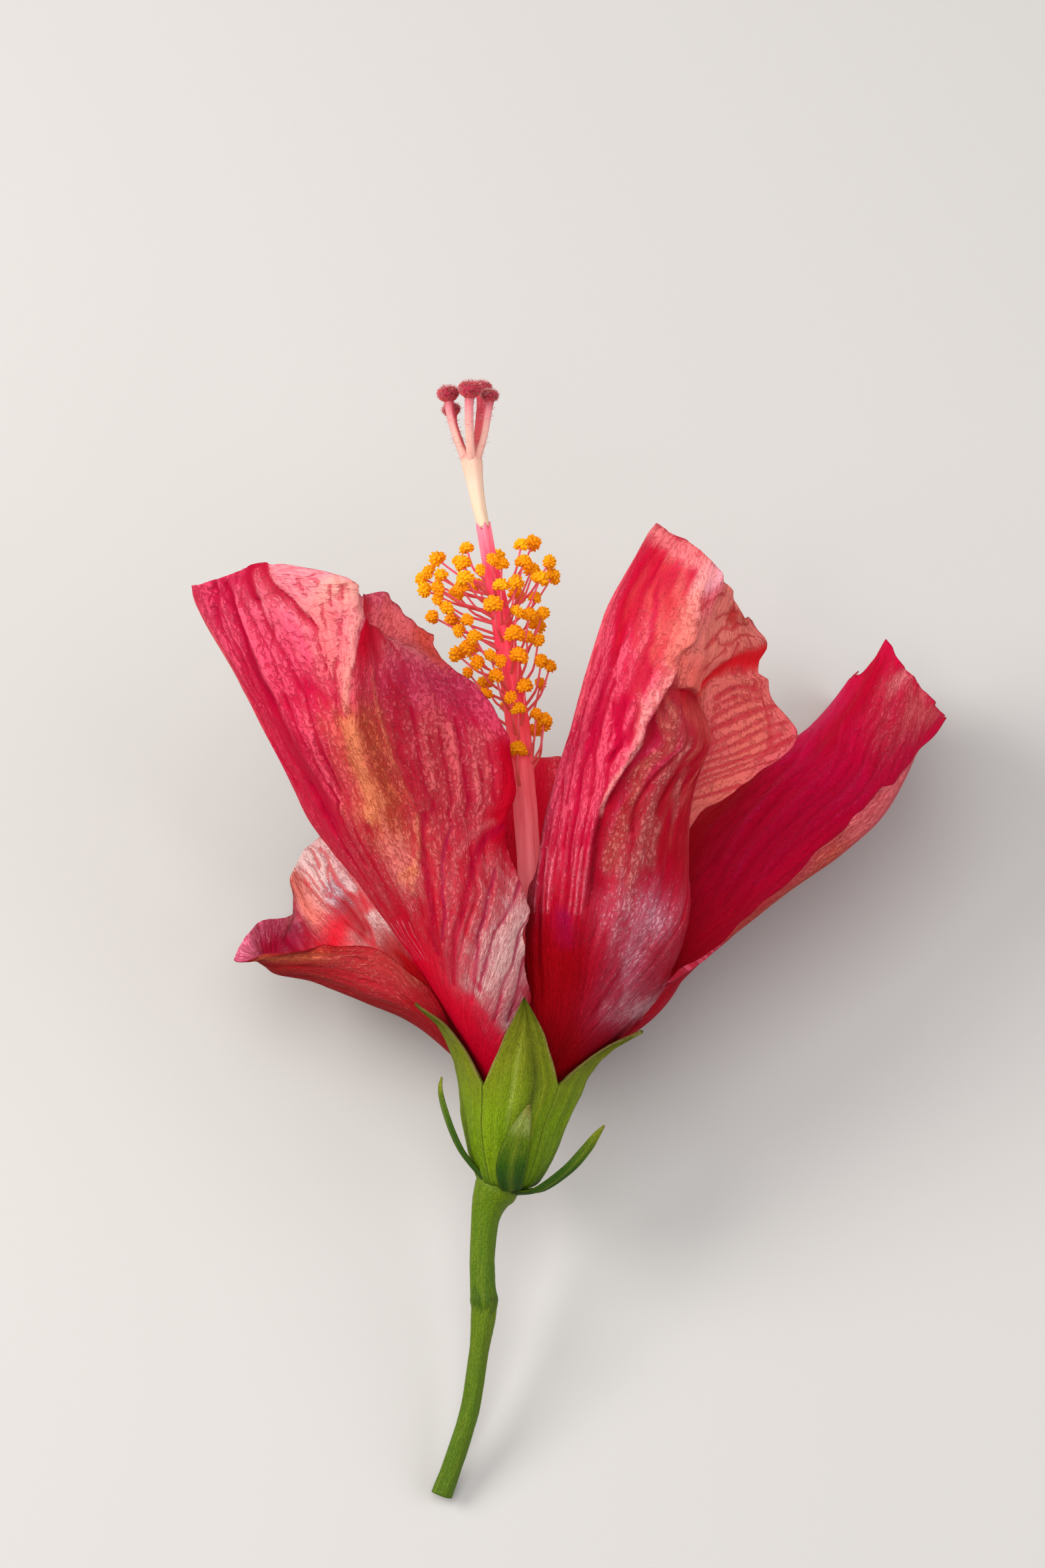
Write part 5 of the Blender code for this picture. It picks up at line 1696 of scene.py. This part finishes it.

# The petal at the front right, rolled forward with a folded lobe at its top.
# Dark crimson lines pressed into creases: partly the veins' own colour and partly painted shade.
PINCH_LINE = Stroke("", 0.6, "bc0034", 0.08, 0.75, -0.35)
FINE_VEIN = Stroke("", 0.42, "d43444 dc3c4c", 0.05, 0.6, -0.06)
FRONT_RIGHT_FACE = (
    # The lit face: a crimson triangle at its top, pale margins and long pinched creases, whose dark crimson
    # is partly the veins' own colour and partly painted shade.
    Stroke("11,96 11,80 12,66", 2.4, "e83c5c fc6c80", 0.9, 0.8),
    Stroke("21,99 20.5,88 21.5,76", (7.0, 0.9), "cc0030 d4083c", 0.0, 1.0, -0.3),
    Stroke("36.5,96 34,90 32.5,83 31.5,76 31,70 31,63 33,56", (3.0, 1.0), "c40038 d81048", 0.0, press=-0.35),
    PINCH_LINE.at("22,78 21.5,70 22,62 22.5,55 25,47 27,42 28,35; 25,71 24,65 25.5,59 28,53 30,48",
                  width=(1.0, 0.6)),
    PINCH_LINE.at("37,88 35,80 34.5,72 35,66 36.5,60; 35.5,66 34,58 36,50 38,44; 14.5,64 13.5,55 16,49 "
                  "18.5,43 20,37", width=0.6),
    PINCH_LINE.at("17,76 16,68 17.5,60 19,52 21,46; 12,80 12.5,70 13,62; 28,74 27.5,66 29.5,60; 38.5,76 "
                  "38,68 38.6,62; 31,50 32.5,44 34,38; 24,44 24.5,38; 33,99 32,92; 28.5,98 28,90 26.5,82",
                  width=0.4, press=-0.2),
    PINCH_LINE.at("; ".join(f"{u},42 {u + 0.4},36 {u + 0.6},30"
                            for u in (12, 15, 18, 21.5, 25, 30, 33, 36)),
                  width=0.26, strength=0.5, press=-0.12),
    Stroke("; ".join(f"{u},38 {u + 0.5},31" for u in (10.5, 13.5, 16.5, 20, 31.5, 34.5, 37.5)), 0.25,
           "ec4c6c fc8c9c", 0.95, 0.6, 0.1),
    Stroke("29.5,30.5 30.5,28", 2.2, "b01060 c02878", 0.3, 0.7),
    Stroke("29.6,84 28.5,76 27,68; 38.5,88 37,80 37,66", (0.9, 1.2), "dc2450 fc5c7c", 0.95, 0.6, 0.3),
    Stroke("26.5,92 32,90", 6.0, "c80034 d40c40", 0.04, 0.85),
    Stroke("36.5,91 36,84 35,75", (3.4, 2.0), "c80034 d81048", 0.06, 0.8),
    Stroke("12,98.5 40,98.5", 2.2, "e45468 f88c90", 1.0, 0.85),
    # A painted highlight at the top corner.
    Stroke("42,94 45,98.5", 2.4, "d07090 f0b8cc", 1.0),
    # The fold: a pale ridge, which is a painted highlight, and the shaded underside that drops away behind
    # it, painted darker as shade, most of all in the hollow by the ridge and in a band across the lobe; the
    # beige mottled columns on it are the petal's own.
    Stroke("39.5,34 39.5,50 40,60 41,70 42,80", (3.2, 5.0), "9c0420 b43c4c", 0.15, 0.95, -0.7, side=-1),
    Stroke("39.5,44 39.5,54 40,62 41,70 42,80 41.5,92",
           (0.9, 2.8), "f4787c ffb0ac", 0.95, 0.8, 0.35, side=1),
    Stroke("45,83 44.5,74", (3.6, 2.4), "a83044 c46064", 0.6, press=-0.2),
    Stroke("53,82 64,87 74,90", (2.6, 1.6), "c04450 d06c6c", 0.7, 0.7, -0.3),
    Stroke("56,66 54,50 56,36", 6.0, "b40020 c00c2c", 0.02, 0.95),
    Stroke("68,38 70,62", 7.0, "b0001c bc1030", 0.03, 0.95),
    Stroke("45.5,66 45,56 46,46 45,36", (1.6, 2.2), "a80c24 d87468", 0.6),
    Stroke("52,60 51,50 52,42 51,34 50,29", (1.8, 2.8), "a80824 dc807c", 0.6),
    Stroke("57,54 58,49; 60,47 61,43; 56,41 56.5,36", 1.5, "a80824 d4706c", 0.55),
    PINCH_LINE.at("48.7,66 48.3,52 49,40; 54.6,52 54.3,44", width=0.6, tints="980018"),
    # The streaked lower side above the calyx.
    Stroke("42,21 47,31", 4.0, "b41038 f494a8", 0.45, 0.8),
    Stroke("50,20 62,30", 6.0, "bc305c f8bccc", 0.74),
    Stroke("62,20 95,21", 4.0, "b82050 f4c4cc", 0.8),
    Stroke("66,26.5 95,27", 4.0, "b00c30 dc6474", 0.4, 0.85),
    # The salmon lobe folded over at the top, and the lower one behind it: their salmon is painted light
    # shining through the thin lobes, and the dark crimson edge under the upper lobe is painted shade.
    Stroke("58,77 75,90 90,93", 13.0, "f87c70 ff9484", 0.95, 1.0, veins=-0.4),
    Stroke("50,72.5 62,73", 5.0, "e85c58 f87468", 0.95, 0.95, veins=-0.4),
    Stroke("94,47 94,72", 10.0, "e4605c f47c70", 0.95, 1.0, veins=-0.4),
    Stroke("48,69.5 56,69.2 64,69", 4.0, "b0001c b8081c", 0.0, 1.0, -0.8, side=-1),
    Stroke("72,69.5 76,71.5 80,75.5 85,78.5 92,79.5 100,78.5",
           (0.9, 1.5), "e41424 e83438", 0.05, 0.95, -0.45),
    FINE_VEIN.at("50,79.5 58,81 66,84.5 72,87 80,88 87,91; 84,69 92,72.5 96,72; 83.5,62 92,66 101,68.5; "
                 "84.5,53 93,57 101,60.5; 86,47.5 93,48.5 101,51", width=0.5, strength=0.75),
    FINE_VEIN.at("42,88 48,93 55,95.5 62,97.5; 64,89 70,92 76,93 84,97; 76,87.5 78,93 77,99; 66,84.5 72,83 "
                 "80,84 88,87 96,87; 88,91 93,94 95,98; 60,74 68,78 76,82; 83.5,64.5 90,68 97,70; 84,57.5 "
                 "92,61.5 101,64.5; 85,50 92,52.5 101,56; 84,66.5 90,70; 84,60 92,63.7 98,66; 84,55.2 92,59 "
                 "99,62; 85,51.5 93,55 99,58; 97,74 97.5,68 96.5,62 97.5,56; 86,75 91,75.5 95,74 94,70.5 "
                 "89,70.2; 91,87 93,82; 83,80 85,84.5"),
    Stroke("79,95 79.5,91", 1.6, "d83438 e04840", 0.3, 0.8),
    # The crimson foot.
    Stroke("30,12 30,24", 12.0, "a0000e a80818", 0.0, 0.95),
)
FRONT_RIGHT = Petal(
    "petal_front_right", -56.0, net("""
    24: 3.4,-5.8 4.9,-7.4 6.9,-8.4 9,-9 11,-9.2 13.6,-9 16.2,-8 18.4,-6.4 19.8,-4.6 20.4,-3 20.4,-1.6;
    36: 4.6,-5 5.6,-8.4 7.4,-11 9.6,-12.8 12.2,-13.4 16.4,-13 20.6,-11.4 23.8,-8.8 25.6,-5.6 26,-3.8
    25.8,-2.2;
    48: 7.4,-2.8 7.1,-7.8 8.8,-12.2 11.2,-15.2 14,-16.6 18.8,-15.6 23,-13 25.4,-9.8 26,-6.8 25.6,-4
    26.6,-2,49;
    54: 9.4,-2.4 8.6,-8 10.4,-13 13.2,-16.4 16.4,-18 21.2,-16.4 25,-13.2 26.6,-10 26.2,-7,53.8 28.4,-4,53.4
    32.6,-1.8,53.8;
    60: 11.6,-2.2 10.2,-8.4 12,-13.8 15.4,-17.6 19.4,-19.4 24.6,-17 28,-13.2 28.6,-10 27.6,-7 32.4,-3.6,59.2
    39.6,-.4;
    67: 14,-2.4 12.2,-8.8 14.2,-14.8 17.8,-18.8 22.8,-21 26.2,-18.6 27.2,-15 27.4,-11.8 28.6,-8.8,66.6
    32.6,-5.6,66 37.4,-2.8,65.8;
    73: 16.4,-3 13.8,-9.4 16,-15.4 20,-19.8 25.6,-22.2,72.8 28,-19.2,72.4 28.8,-15.8,72 29.6,-12.8,71.6
    31.4,-10.2,71.2 34,-8.2,71.2 37,-6.6,72;
    79.2: 18.6,-4.4,79 16,-10.2,79 18.2,-15.8 22,-20 26.8,-22.6,78.6 28.6,-20.2,77.6 29.4,-17.2,76.8
    30.4,-14.8,76.2 31.8,-12.8,75.6 33.4,-11.2,75 35.2,-9.8,74.6;
    75.8: 20,-6,84 21.2,-12.2,89 23.2,-16.2,87.6 25.6,-19.6,86.2 28.4,-21.6,83.8 30,-20.6,81.4
    30.8,-18.6,80.2 31.6,-16.6,79.2 32.4,-14.8,78 33.2,-13.2,76.8 34.4,-11.8"""),
    net("""
    0: 0,0 100,0;
    .15: 0,20 20,22 30,18 40,16 60,15 100,12;
    .25: 0,27 20,28 33,27 42,24 50,20 70,19 100,15;
    .33: 0,32 20,33 33,32 40,30 47,27 55,24 60,22 72,21 100,20;
    .4: 0,36 20,37.5 33,38 40,37 50,33 55,30 65,27 80,25 100,25;
    .47: 0,38.5 20,40 30,41 40,41 50,39 57,36 64,34 73,31 85,33 100,35;
    .53: 0,41 20,42 25,43 30,45 35,46.5 42,46 65,43 75,41 100,40;
    .62: 0,44 15,43 20,45 25,49 30,53 35,55 65,52 100,50;
    .78: 0,50 15,48 20,52 25,60 30,67 38,70 100,70;
    1: 0,58 15,56 20,63 25,76 30,88 38,100 100,100;
    1.4: 0,74 15,72 20,85 25,105 30,130 100,150"""),
    Skin("0 800008 880008 0, .24 ac000e b81028 .03, .29 c0001e f07890 .2, .36 cc0034 f46480 .5, "
         ".45 d00040 fa5878 .72, .75 d40844 fa5878 .78, .95 d40c48 f86c84 .7, 1 dc4058 f88c8c .85",
         FRONT_RIGHT_FACE),
    FRONT_INSIDE,
    trims={Edge.LOW: path(".57,.63,.012,.4 .84,.9,.012,.4"),
           Edge.HIGH: path(".735,.8,.04,.5 .5,.74,-.02,.3 .8,.95,-.02,.3"),
           Edge.TIP: path(".46,.53,.012,.4 .55,.75,-.015,.3")},
    seed=33)

# The petal at the right, a long trough that shows its inner face.
TROUGH_LINE = Stroke("", 0.6, "b80030", 0.1, 0.4, 0.18)
RIGHT_BACK = (
    Stroke("98,50 98,62 98,71", (7.0, 8.0), strength=0.0, press=-2.3),
    Stroke("8,66 10,80", 6.0, "d04450 f07c80", 0.85),
    Stroke("10,46 10,62", 5.0, "b83430 e07058", 0.65, 0.85),
)
RIGHT_FACE = (
    Stroke("80,70 80,84", 8.0, "d80048 e82470", 0.4, 0.85),
    Stroke("86,82 86,98", 5.0, "e0205c f05484", 0.6, 0.85),
    # A dark patch near the covering edge, painted shade.
    Stroke("90,35 88,60", 8.0, "a80010 b0081c", 0.05),
    Stroke("42,96 48,86 56,90", 6.0, "cc0838 f06878", 0.6, 0.8, veins=0.4),
    Stroke("20,98 40,95", 4.0, "cc2c44 f07478", 0.8, 0.8),
    Stroke("52,99 58,95", 3.0, "cc2c48 f08c90", 0.9, 0.8),
    Stroke("68,95 70,80", 5.0, "c80030", 0.05),
    TROUGH_LINE.at("50,84 48,60 46,45; 62,85 58,60 54,45; 75,78 68,60 62,45; 84,80 76,62 70,48; 38,88 38,66 "
                   "40,50; 56,92 53,72 50,55"),
    TROUGH_LINE.at("66,90 61,72 57,58; 44,90 43,74 43,58; 79,88 72,70 66,54; 32,84 34,66 36,54",
                   width=0.45, press=0.12),
    TROUGH_LINE.at("54,84 51,64 48,50; 70,84 63,62 58,48; 80,76 73,62 67,50; 46,84 45,66",
                   tints="e01450 e82460", cover=0.6, press=-0.2),
)
RIGHT = Petal(
    "petal_right", 16.0, net("""
    24.2: 15.4,-2.2 18.4,-1,23.8 20.8,.8,23 22,3.8,23.2 21.6,7 19.6,9.8,25 16.8,11.6,25.2 14.4,12.4,25.2;
    30.2: 27,1 27.4,3.4,29.9 27.8,6 28,9.8,31.6 27,13.4,33.8 24.8,17,35.8 22,19.4,36.8 19.2,20.4,36.2;
    38.2: 36.8,.8 37.6,4.2 38,8.2,38.5 37,12.8,39.8 34.6,17.6,42 31.4,22.2,44.8 28.6,27.6,46.4
    26.4,31.8,44.4;
    44.9: 45.4,1.8,46.4 47,5.2 47.4,9.8,45.6 45.8,14.8,47.8 43,20,50.4 39.6,25.2,53.4 36.8,31.4,55
    34.6,37.4,52.2;
    50.4: 51.4,3.2,52 53.2,6.6 53.4,11.4,51.2 51.9,16.6,53.3 49,22,55.8 45.7,27.4,58.6 42.8,34.2,60
    41,41.4,56.2;
    65.2: 56.4,5.2,58.2 57.2,8.8,57.8 57.6,13.6,58.4 56,18.8,60.4 53.2,24,62.8 50,29.6 47.2,36.6 46,44.2,61;
    71.2: 61.8,7.4,63.4 61.2,11.4,64.4 60.3,16,66.2 59,20.6,68.5 57,25.4 54.9,30.4,74.8 51.6,37.6
    49.6,45.6,65.2"""),
    OPEN_FAN,
    Skin("0 a4000f b50b1e .05, .3 bb051d e24f6d .4, .6 c51435 e86c85 .6, 1 c81f42 eb838c .7", RIGHT_BACK),
    Skin("0 700004 80000a 0, .2 cc0014 d40820 .05, .35 dc0028 e41048 .2, .5 d80038 e8145c .3, "
         ".75 dc0044 e81c64 .35, 1 dc0444 f0386c .4", RIGHT_FACE),
    trims={Edge.TIP: path(".7,.87,.06,.4"), Edge.LOW: path(".78,.9,.06,.4"),
           Edge.HIGH: path(".26,.74,-.1,.2")},
    pleats=0.7, seed=45, steps=(190, 140))

# The petal at the back, which the flower lies on.
BACK_RIM = (Stroke("10,99 90,99", 4.0, "db424c f4837b", 0.8),)
BACK = Petal(
    "petal_back", 88.0, net("""
    24: 13.6,9,24.5 10.8,10.5 8,11.5 4.8,11.9 1.6,11.8 -1.4,11.4 -4,10.8;
    36: 18.2,15.6 14.4,17.2 10,18.6,36.5 5,19.1,37 0,18.9,36.5 -4.6,18.4 -8.8,18.2,35;
    45: 23,23.6,43.5 17.6,26 11.6,27.8,46 5.2,28.6,46.5 -1.4,28.2,46 -7.8,27.6 -13.4,27.4,43;
    48: 26.6,31 20.4,33.2,50.4 13.4,34.8,52.2 5.8,35.2,53.2 -2.4,35,53 -10,34.2,51.4 -16.6,33.8;
    58.2: 29.4,35.4,51.5 22.6,37.4,55 14.6,38,57 6,38.4,58 -3,38.4 -12,37.8,56.6 -19.6,37,52.6;
    50.6: 30.2,39.8 23.8,41.4,54.4 15,42.2,56.4 6,42.6,57.4 -3.4,42.6,57.6 -13,42,56 -20.6,40.4,51.8"""),
    OPEN_FAN,
    Skin("0 b50016 c8102c 0, .25 c2001d ee9098 .3, .5 cf1b41 ee8194 .65, 1 d23253 f2979f .8", BACK_RIM),
    Skin("0 660005 75000c 0, .3 9d000b ae081f .15, .6 bf001d d51640 .35, .85 cc1030 e84d5c .55, "
         "1 db3943 f17971 .7", BACK_RIM),
    trims={Edge.TIP: path("-.1,.12,.1,.1 .88,1.1,.1,.1")},
    pleats=0.7, seed=57, steps=(150, 130))

# The petal at the left, spread flat with a torn-looking edge.
SPLASH_LINE = Stroke("", 0.6, "d82438", 0.1, 0.7, 0.12)
LEFT_BACK = (
    Stroke("98,40 98,90", 2.4, "c84434 e47c54", 0.8, 0.75),
    Stroke("90,45 95,60", 6.0, "b41028 dc5c60", 0.45, 0.8),
)
LEFT_FACE = (
    Stroke("27,70 30,95", 9.0, "e8a4a4 f8dcd8", 1.0, 1.0, veins=-0.2),
    Stroke("40,80 40,97", 4.5, "f05048 ff8c7c", 0.95),
    Stroke("35,72 44,70", 4.5, "f0002c f42844", 0.2),
    # A bluish-grey patch, a painted reflection of the bright surroundings.
    Stroke("29,82 30,75", 2.4, "a0607c b8a8c0", 0.9, 0.6),
    SPLASH_LINE.at("23,95 26,82 27,72 31,62; 37,96 34,82 33,70 32,60"),
    SPLASH_LINE.at("19,84 22,76 26,68; 29.5,96 30,86 29.5,76 30,66; 26,98 28,90; 33.5,98 32.5,90 31.5,80; "
                   "25,88 28,84 29.5,80", width=0.4),
    Stroke("29,76 31,66", 2.2, "a8001c", 0.0, 0.8),
    Stroke("22,74 24,70", 2.0, "e03444", 0.1, 0.7),
    # Magenta and deep crimson towards the tip, painted shade over the tip's inner face.
    Stroke("55,90 70,95 95,96", 6.0, "e03c78 fc8cac", 0.8),
    Stroke("55,84 70,90", 3.0, "d80044", 0.1, 0.8),
    Stroke("55,97 55.5,96.5", 2.6, "- f0c0bc", 1.0, 0.8),
)
LEFT = Petal(
    "petal_left", 160.0, net("""
    20.6: -1.2,8.4,22.8 -3.6,7.6,21.8 -6,6,20.7 -7.9,3.6,20.3 -8.6,1 -8.6,-1.6,21.5 -8.5,-4.2,23.2
    -7.8,-5.7,25.4;
    32.4: -4.6,13.4 -8.2,13.2,30.2 -11.6,12.4,27.6 -14.4,10.2,25.6 -16.4,6.6,24.8 -17,2.2,25 -16.4,-2,27.2
    -13.8,-5.2,31.4;
    32: -9,21.4,41.6 -13.6,21.2,38.6 -17.6,20.2,34.8 -21,18.2,30.6 -23.4,13.2,28 -24.2,7.6,27.5
    -23.8,2.4,29.2 -21.8,-2.4;
    31.8: -13.6,28.4,48.2 -19,29.4,44.6 -23.2,28.4,40.4 -26.8,25.4,35.8 -29.2,19.8 -30.4,13.2,29.2
    -30.4,7.4,29.3 -29,2.4;
    32: -17.2,33,51.6 -22.8,34.4,48.2 -26.9,32.6,44.8 -28.9,28,40.4 -28.2,23,36.2 -32.2,16,35.4 -34.8,10.4
    -36,6,29.1"""),
    OPEN_FAN,
    Skin("0 b00018 c01030 0, .25 b00820 d84c48 .35, .5 a40c16 c8403a .4, 1 a8141e c8403c .45", LEFT_BACK),
    Skin("0 660005 75000c 0, .3 9d000b ab0512 .1, .6 b8000e c8071c .15, .8 c20729 db3456 .4, "
         "1 c82342 e56e7c .6", LEFT_FACE),
    trims={Edge.TIP: path(".4,.57,.1,.4 -.1,.08,.05,.1 .93,1.1,.06,.1")},
    pleats=0.7, seed=69, steps=(170, 140))

# The leaves under the calyx.
BRACTS = (
    Bract("bract_left", "-.9,-1.7,.9 -3.9,-2.6,4.5 -5.5,-3,7.7 -6.7,-3.2,11.3 -7.1,-3.2,13.5 -6.9,-3,15",
          0.9),
    Bract("bract_front", "2.4,-3.5,-.1 2.4,-6.3,2.8 3.3,-8.2,6.8 4.9,-9.4,11.7", 2.2, "94a050"),
    Bract("bract_right", "3,-2,-.6 6.3,-2.4,-.1 10,-2.8,2.5 12.4,-2.9,5.1 13.8,-2.9,7 15,-2.9,8.5",
          0.9),
    Bract("bract_back_right", "4.2,2.9,-.2 6.1,5.8,2.2 7.6,8,6.6 8,9.6,11.6", 1.1),
    Bract("bract_back", "1.8,3.5,-.1 1.2,7,2.6 1,9.2,6.8 .6,10.6,12.2", 1.2),
    Bract("bract_back_left", "0.2,2.9,-.1 -1.4,5.7,2.6 -2.4,7.8,6.8 -2.8,8.8,12.4", 1.1),
)

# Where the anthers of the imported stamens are, and those of further ones between them.
NAMED_ANTHERS = path("""
    -3.6,-1.5,86.2 -4.1,-5.2,84 -.1,-7.2,84.4 3.8,-1.8,86.6 4.1,-4.6,84.2 7.6,-.5,84.3 6.4,-3.9,82
    -8.7,-2.5,83 -9.2,-2.6,80.5 -7.4,-6.4,80.7 -3.7,-7.9,81.9 -4.9,-3.8,79.9 -6.2,-5.4,78 -8.2,-1.6,76.9
    1.1,-7.4,81 5.6,.2,79.6 6.7,-1.4,77.4 3.2,-6.6,77.5 0,-7.8,78.4 -3.5,-5.8,76.4 -4.6,-3.4,75 4.6,-3,74.2
    -4.9,.3,71.9 1,-7,70.9 -3.4,-1.4,69.4 7.7,-.6,70.3 4.3,-4.6,67.6 2.4,-6,66 6.9,-2.4,63 -1.2,-2.6,66.4
    -4.8,3.2,84.6 .6,5.4,85.4 5.2,3.4,83.4 -7.4,3,80.6 -2.2,5.8,81.4 3.2,5.8,80.2 -5.6,4.6,76.6 .8,6.4,76.6
    6,3.2,76 -2.8,4.4,72.6 3.2,5,72 6.4,2.8,68 -1.2,3.6,68.2 2.2,4.8,65.2 5.6,2,61.6""")
MORE_ANTHERS = path("""
    -7.6,-1.8,84.7 -9.5,-.6,82.1 -7,-4.6,82.4 -7.4,-4.8,79.2 -4.3,-6.6,80.6 -1.7,-7.2,83.1 1.2,-6.4,83.9
    3.1,-7,81.3 -2.5,-5.2,74.1 -3.5,-3.4,72.8 -2.1,-4.6,70.7 -.4,-6.2,71.6 .4,-5.8,68.9 3.4,-5.4,71.6
    2.9,-6,74.5 6.1,-1.2,73.7 4.9,-4.4,77.1 5.5,-2.6,83.3 8.1,1.2,82.6 5.4,.6,86.9 6.5,-1.8,70.9
    3.4,-5.2,64.5 5.8,-3.4,63.8 6.6,-.8,62.2 3.3,-3.4,59.1""")


# ---- studio


@dataclass(frozen=True)
class Lamp:
    """One soft square lamp."""

    name: str
    # where it stands, as a direction from the flower's middle in the growing flower
    way: tuple[float, float, float]
    distance: float  # how far away, in metres
    size: float  # the side of its face, in metres
    power: float  # its power in watts
    colour: str


@dataclass
class Studio:
    """The plain floor, the lamps and the camera."""

    # the point of the growing flower that the camera faces, in millimetres
    middle: tuple[float, float, float] = (3.96, 0.0, 54.36)
    reach: float = 700.0  # the camera's distance from it
    view_height: float = 211.68  # how many millimetres the picture is high there
    lamps: tuple[Lamp, ...] = (
        Lamp("key", (-0.8, -0.55, 0.35), 0.7, 0.35, 5.4, "fffaf6"),
        Lamp("fill", (0.8, -0.6, 0.0), 0.9, 0.7, 4.2, "fbf8ff"),
        Lamp("top", (-0.1, -0.95, 0.3), 0.9, 0.7, 6.4, "ffffff"),
    )
    sky: float = 0.3  # how bright the surroundings are
    floor: float = 4.0  # the side of the floor, in metres

    SENSOR = 36.0

    def build(self) -> None:
        """Makes the floor, the lamps, the surroundings and the camera."""
        scene, half = bpy.context.scene, self.floor / 2
        mesh = bpy.data.meshes.new("floor")
        corners = [(-half, -half, 0), (half, -half, 0), (half, half, 0), (-half, half, 0)]
        mesh.from_pydata(corners, [], [(0, 1, 2, 3)])
        mesh.materials.append(PaperFinish().make("floor_paper"))
        self.stand("floor", mesh, Matrix())

        place = laid_down()
        target = place @ Vector([value * MM for value in self.middle])
        for lamp in self.lamps:
            way = (place.to_3x3() @ Vector(lamp.way)).normalized()
            light = bpy.data.lights.new(lamp.name, "AREA")
            light.shape = "SQUARE"
            light.size = lamp.size
            light.energy = lamp.power
            light.color = tuple(linear(lamp.colour))
            self.stand(lamp.name, light, Matrix.Translation(target + way * lamp.distance)
                       @ way.to_track_quat("Z", "Y").to_matrix().to_4x4())

        world = bpy.data.worlds.new("surroundings")
        world.use_nodes = True
        sky = world.node_tree.nodes["Background"].inputs
        sky["Color"].default_value = (1.0, 0.985, 0.965, 1.0)
        sky["Strength"].default_value = self.sky
        scene.world = world
        scene.view_settings.view_transform = "Standard"

        lens = bpy.data.cameras.new("camera")
        lens.sensor_width = self.SENSOR
        lens.lens = self.SENSOR * self.reach / self.view_height
        lens.clip_end = 20.0
        across, away, up = self.middle
        scene.camera = self.stand("camera", lens, place @ Matrix.Translation(
            Vector((across, away - self.reach, up)) * MM) @ Matrix.Rotation(math.pi / 2, 4, "X"))

    def stand(self, name: str, data: bpy.types.ID, place: Matrix) -> Object:
        """Puts one thing in its place.

        Args:
            name: its name.
            data: its mesh, lamp or lens.
            place: where it stands, in metres.

        Returns:
            The object.
        """
        made = bpy.data.objects.new(name, data)
        made.matrix_world = place
        bpy.context.scene.collection.objects.link(made)
        return made


def report(*pieces: Object) -> None:
    """Logs the name and size of each piece."""
    for piece in pieces:
        log.info("%s: %d points, %d faces", piece.name, len(piece.data.vertices), len(piece.data.polygons))


def main() -> None:
    """Builds the studio and the flower."""
    logging.basicConfig(level=logging.INFO, format="%(name)s: %(message)s")
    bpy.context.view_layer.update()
    Studio().build()

    report(Stalk().dress(STALK.make("stalk_skin")))
    leaf = LEAF.make("leaf_skin")
    for bract in BRACTS:
        report(bract.dress(leaf))
    report(Calyx().dress(GREEN.make("calyx_cup")))
    skin = PetalFinish().make("petal_skin")
    for petal in (FRONT_LEFT, FRONT_RIGHT, RIGHT, BACK, LEFT):
        report(petal.dress(skin))
    column = Column()
    report(column.dress(COLUMN.make("column_flesh")))
    report(*Stamens(NAMED_ANTHERS, MORE_ANTHERS, column).dress(POLLEN.make("pollen_dust")))
    report(*Pistil().dress(STYLE, VELVET))


if __name__ == "__main__":
    main()
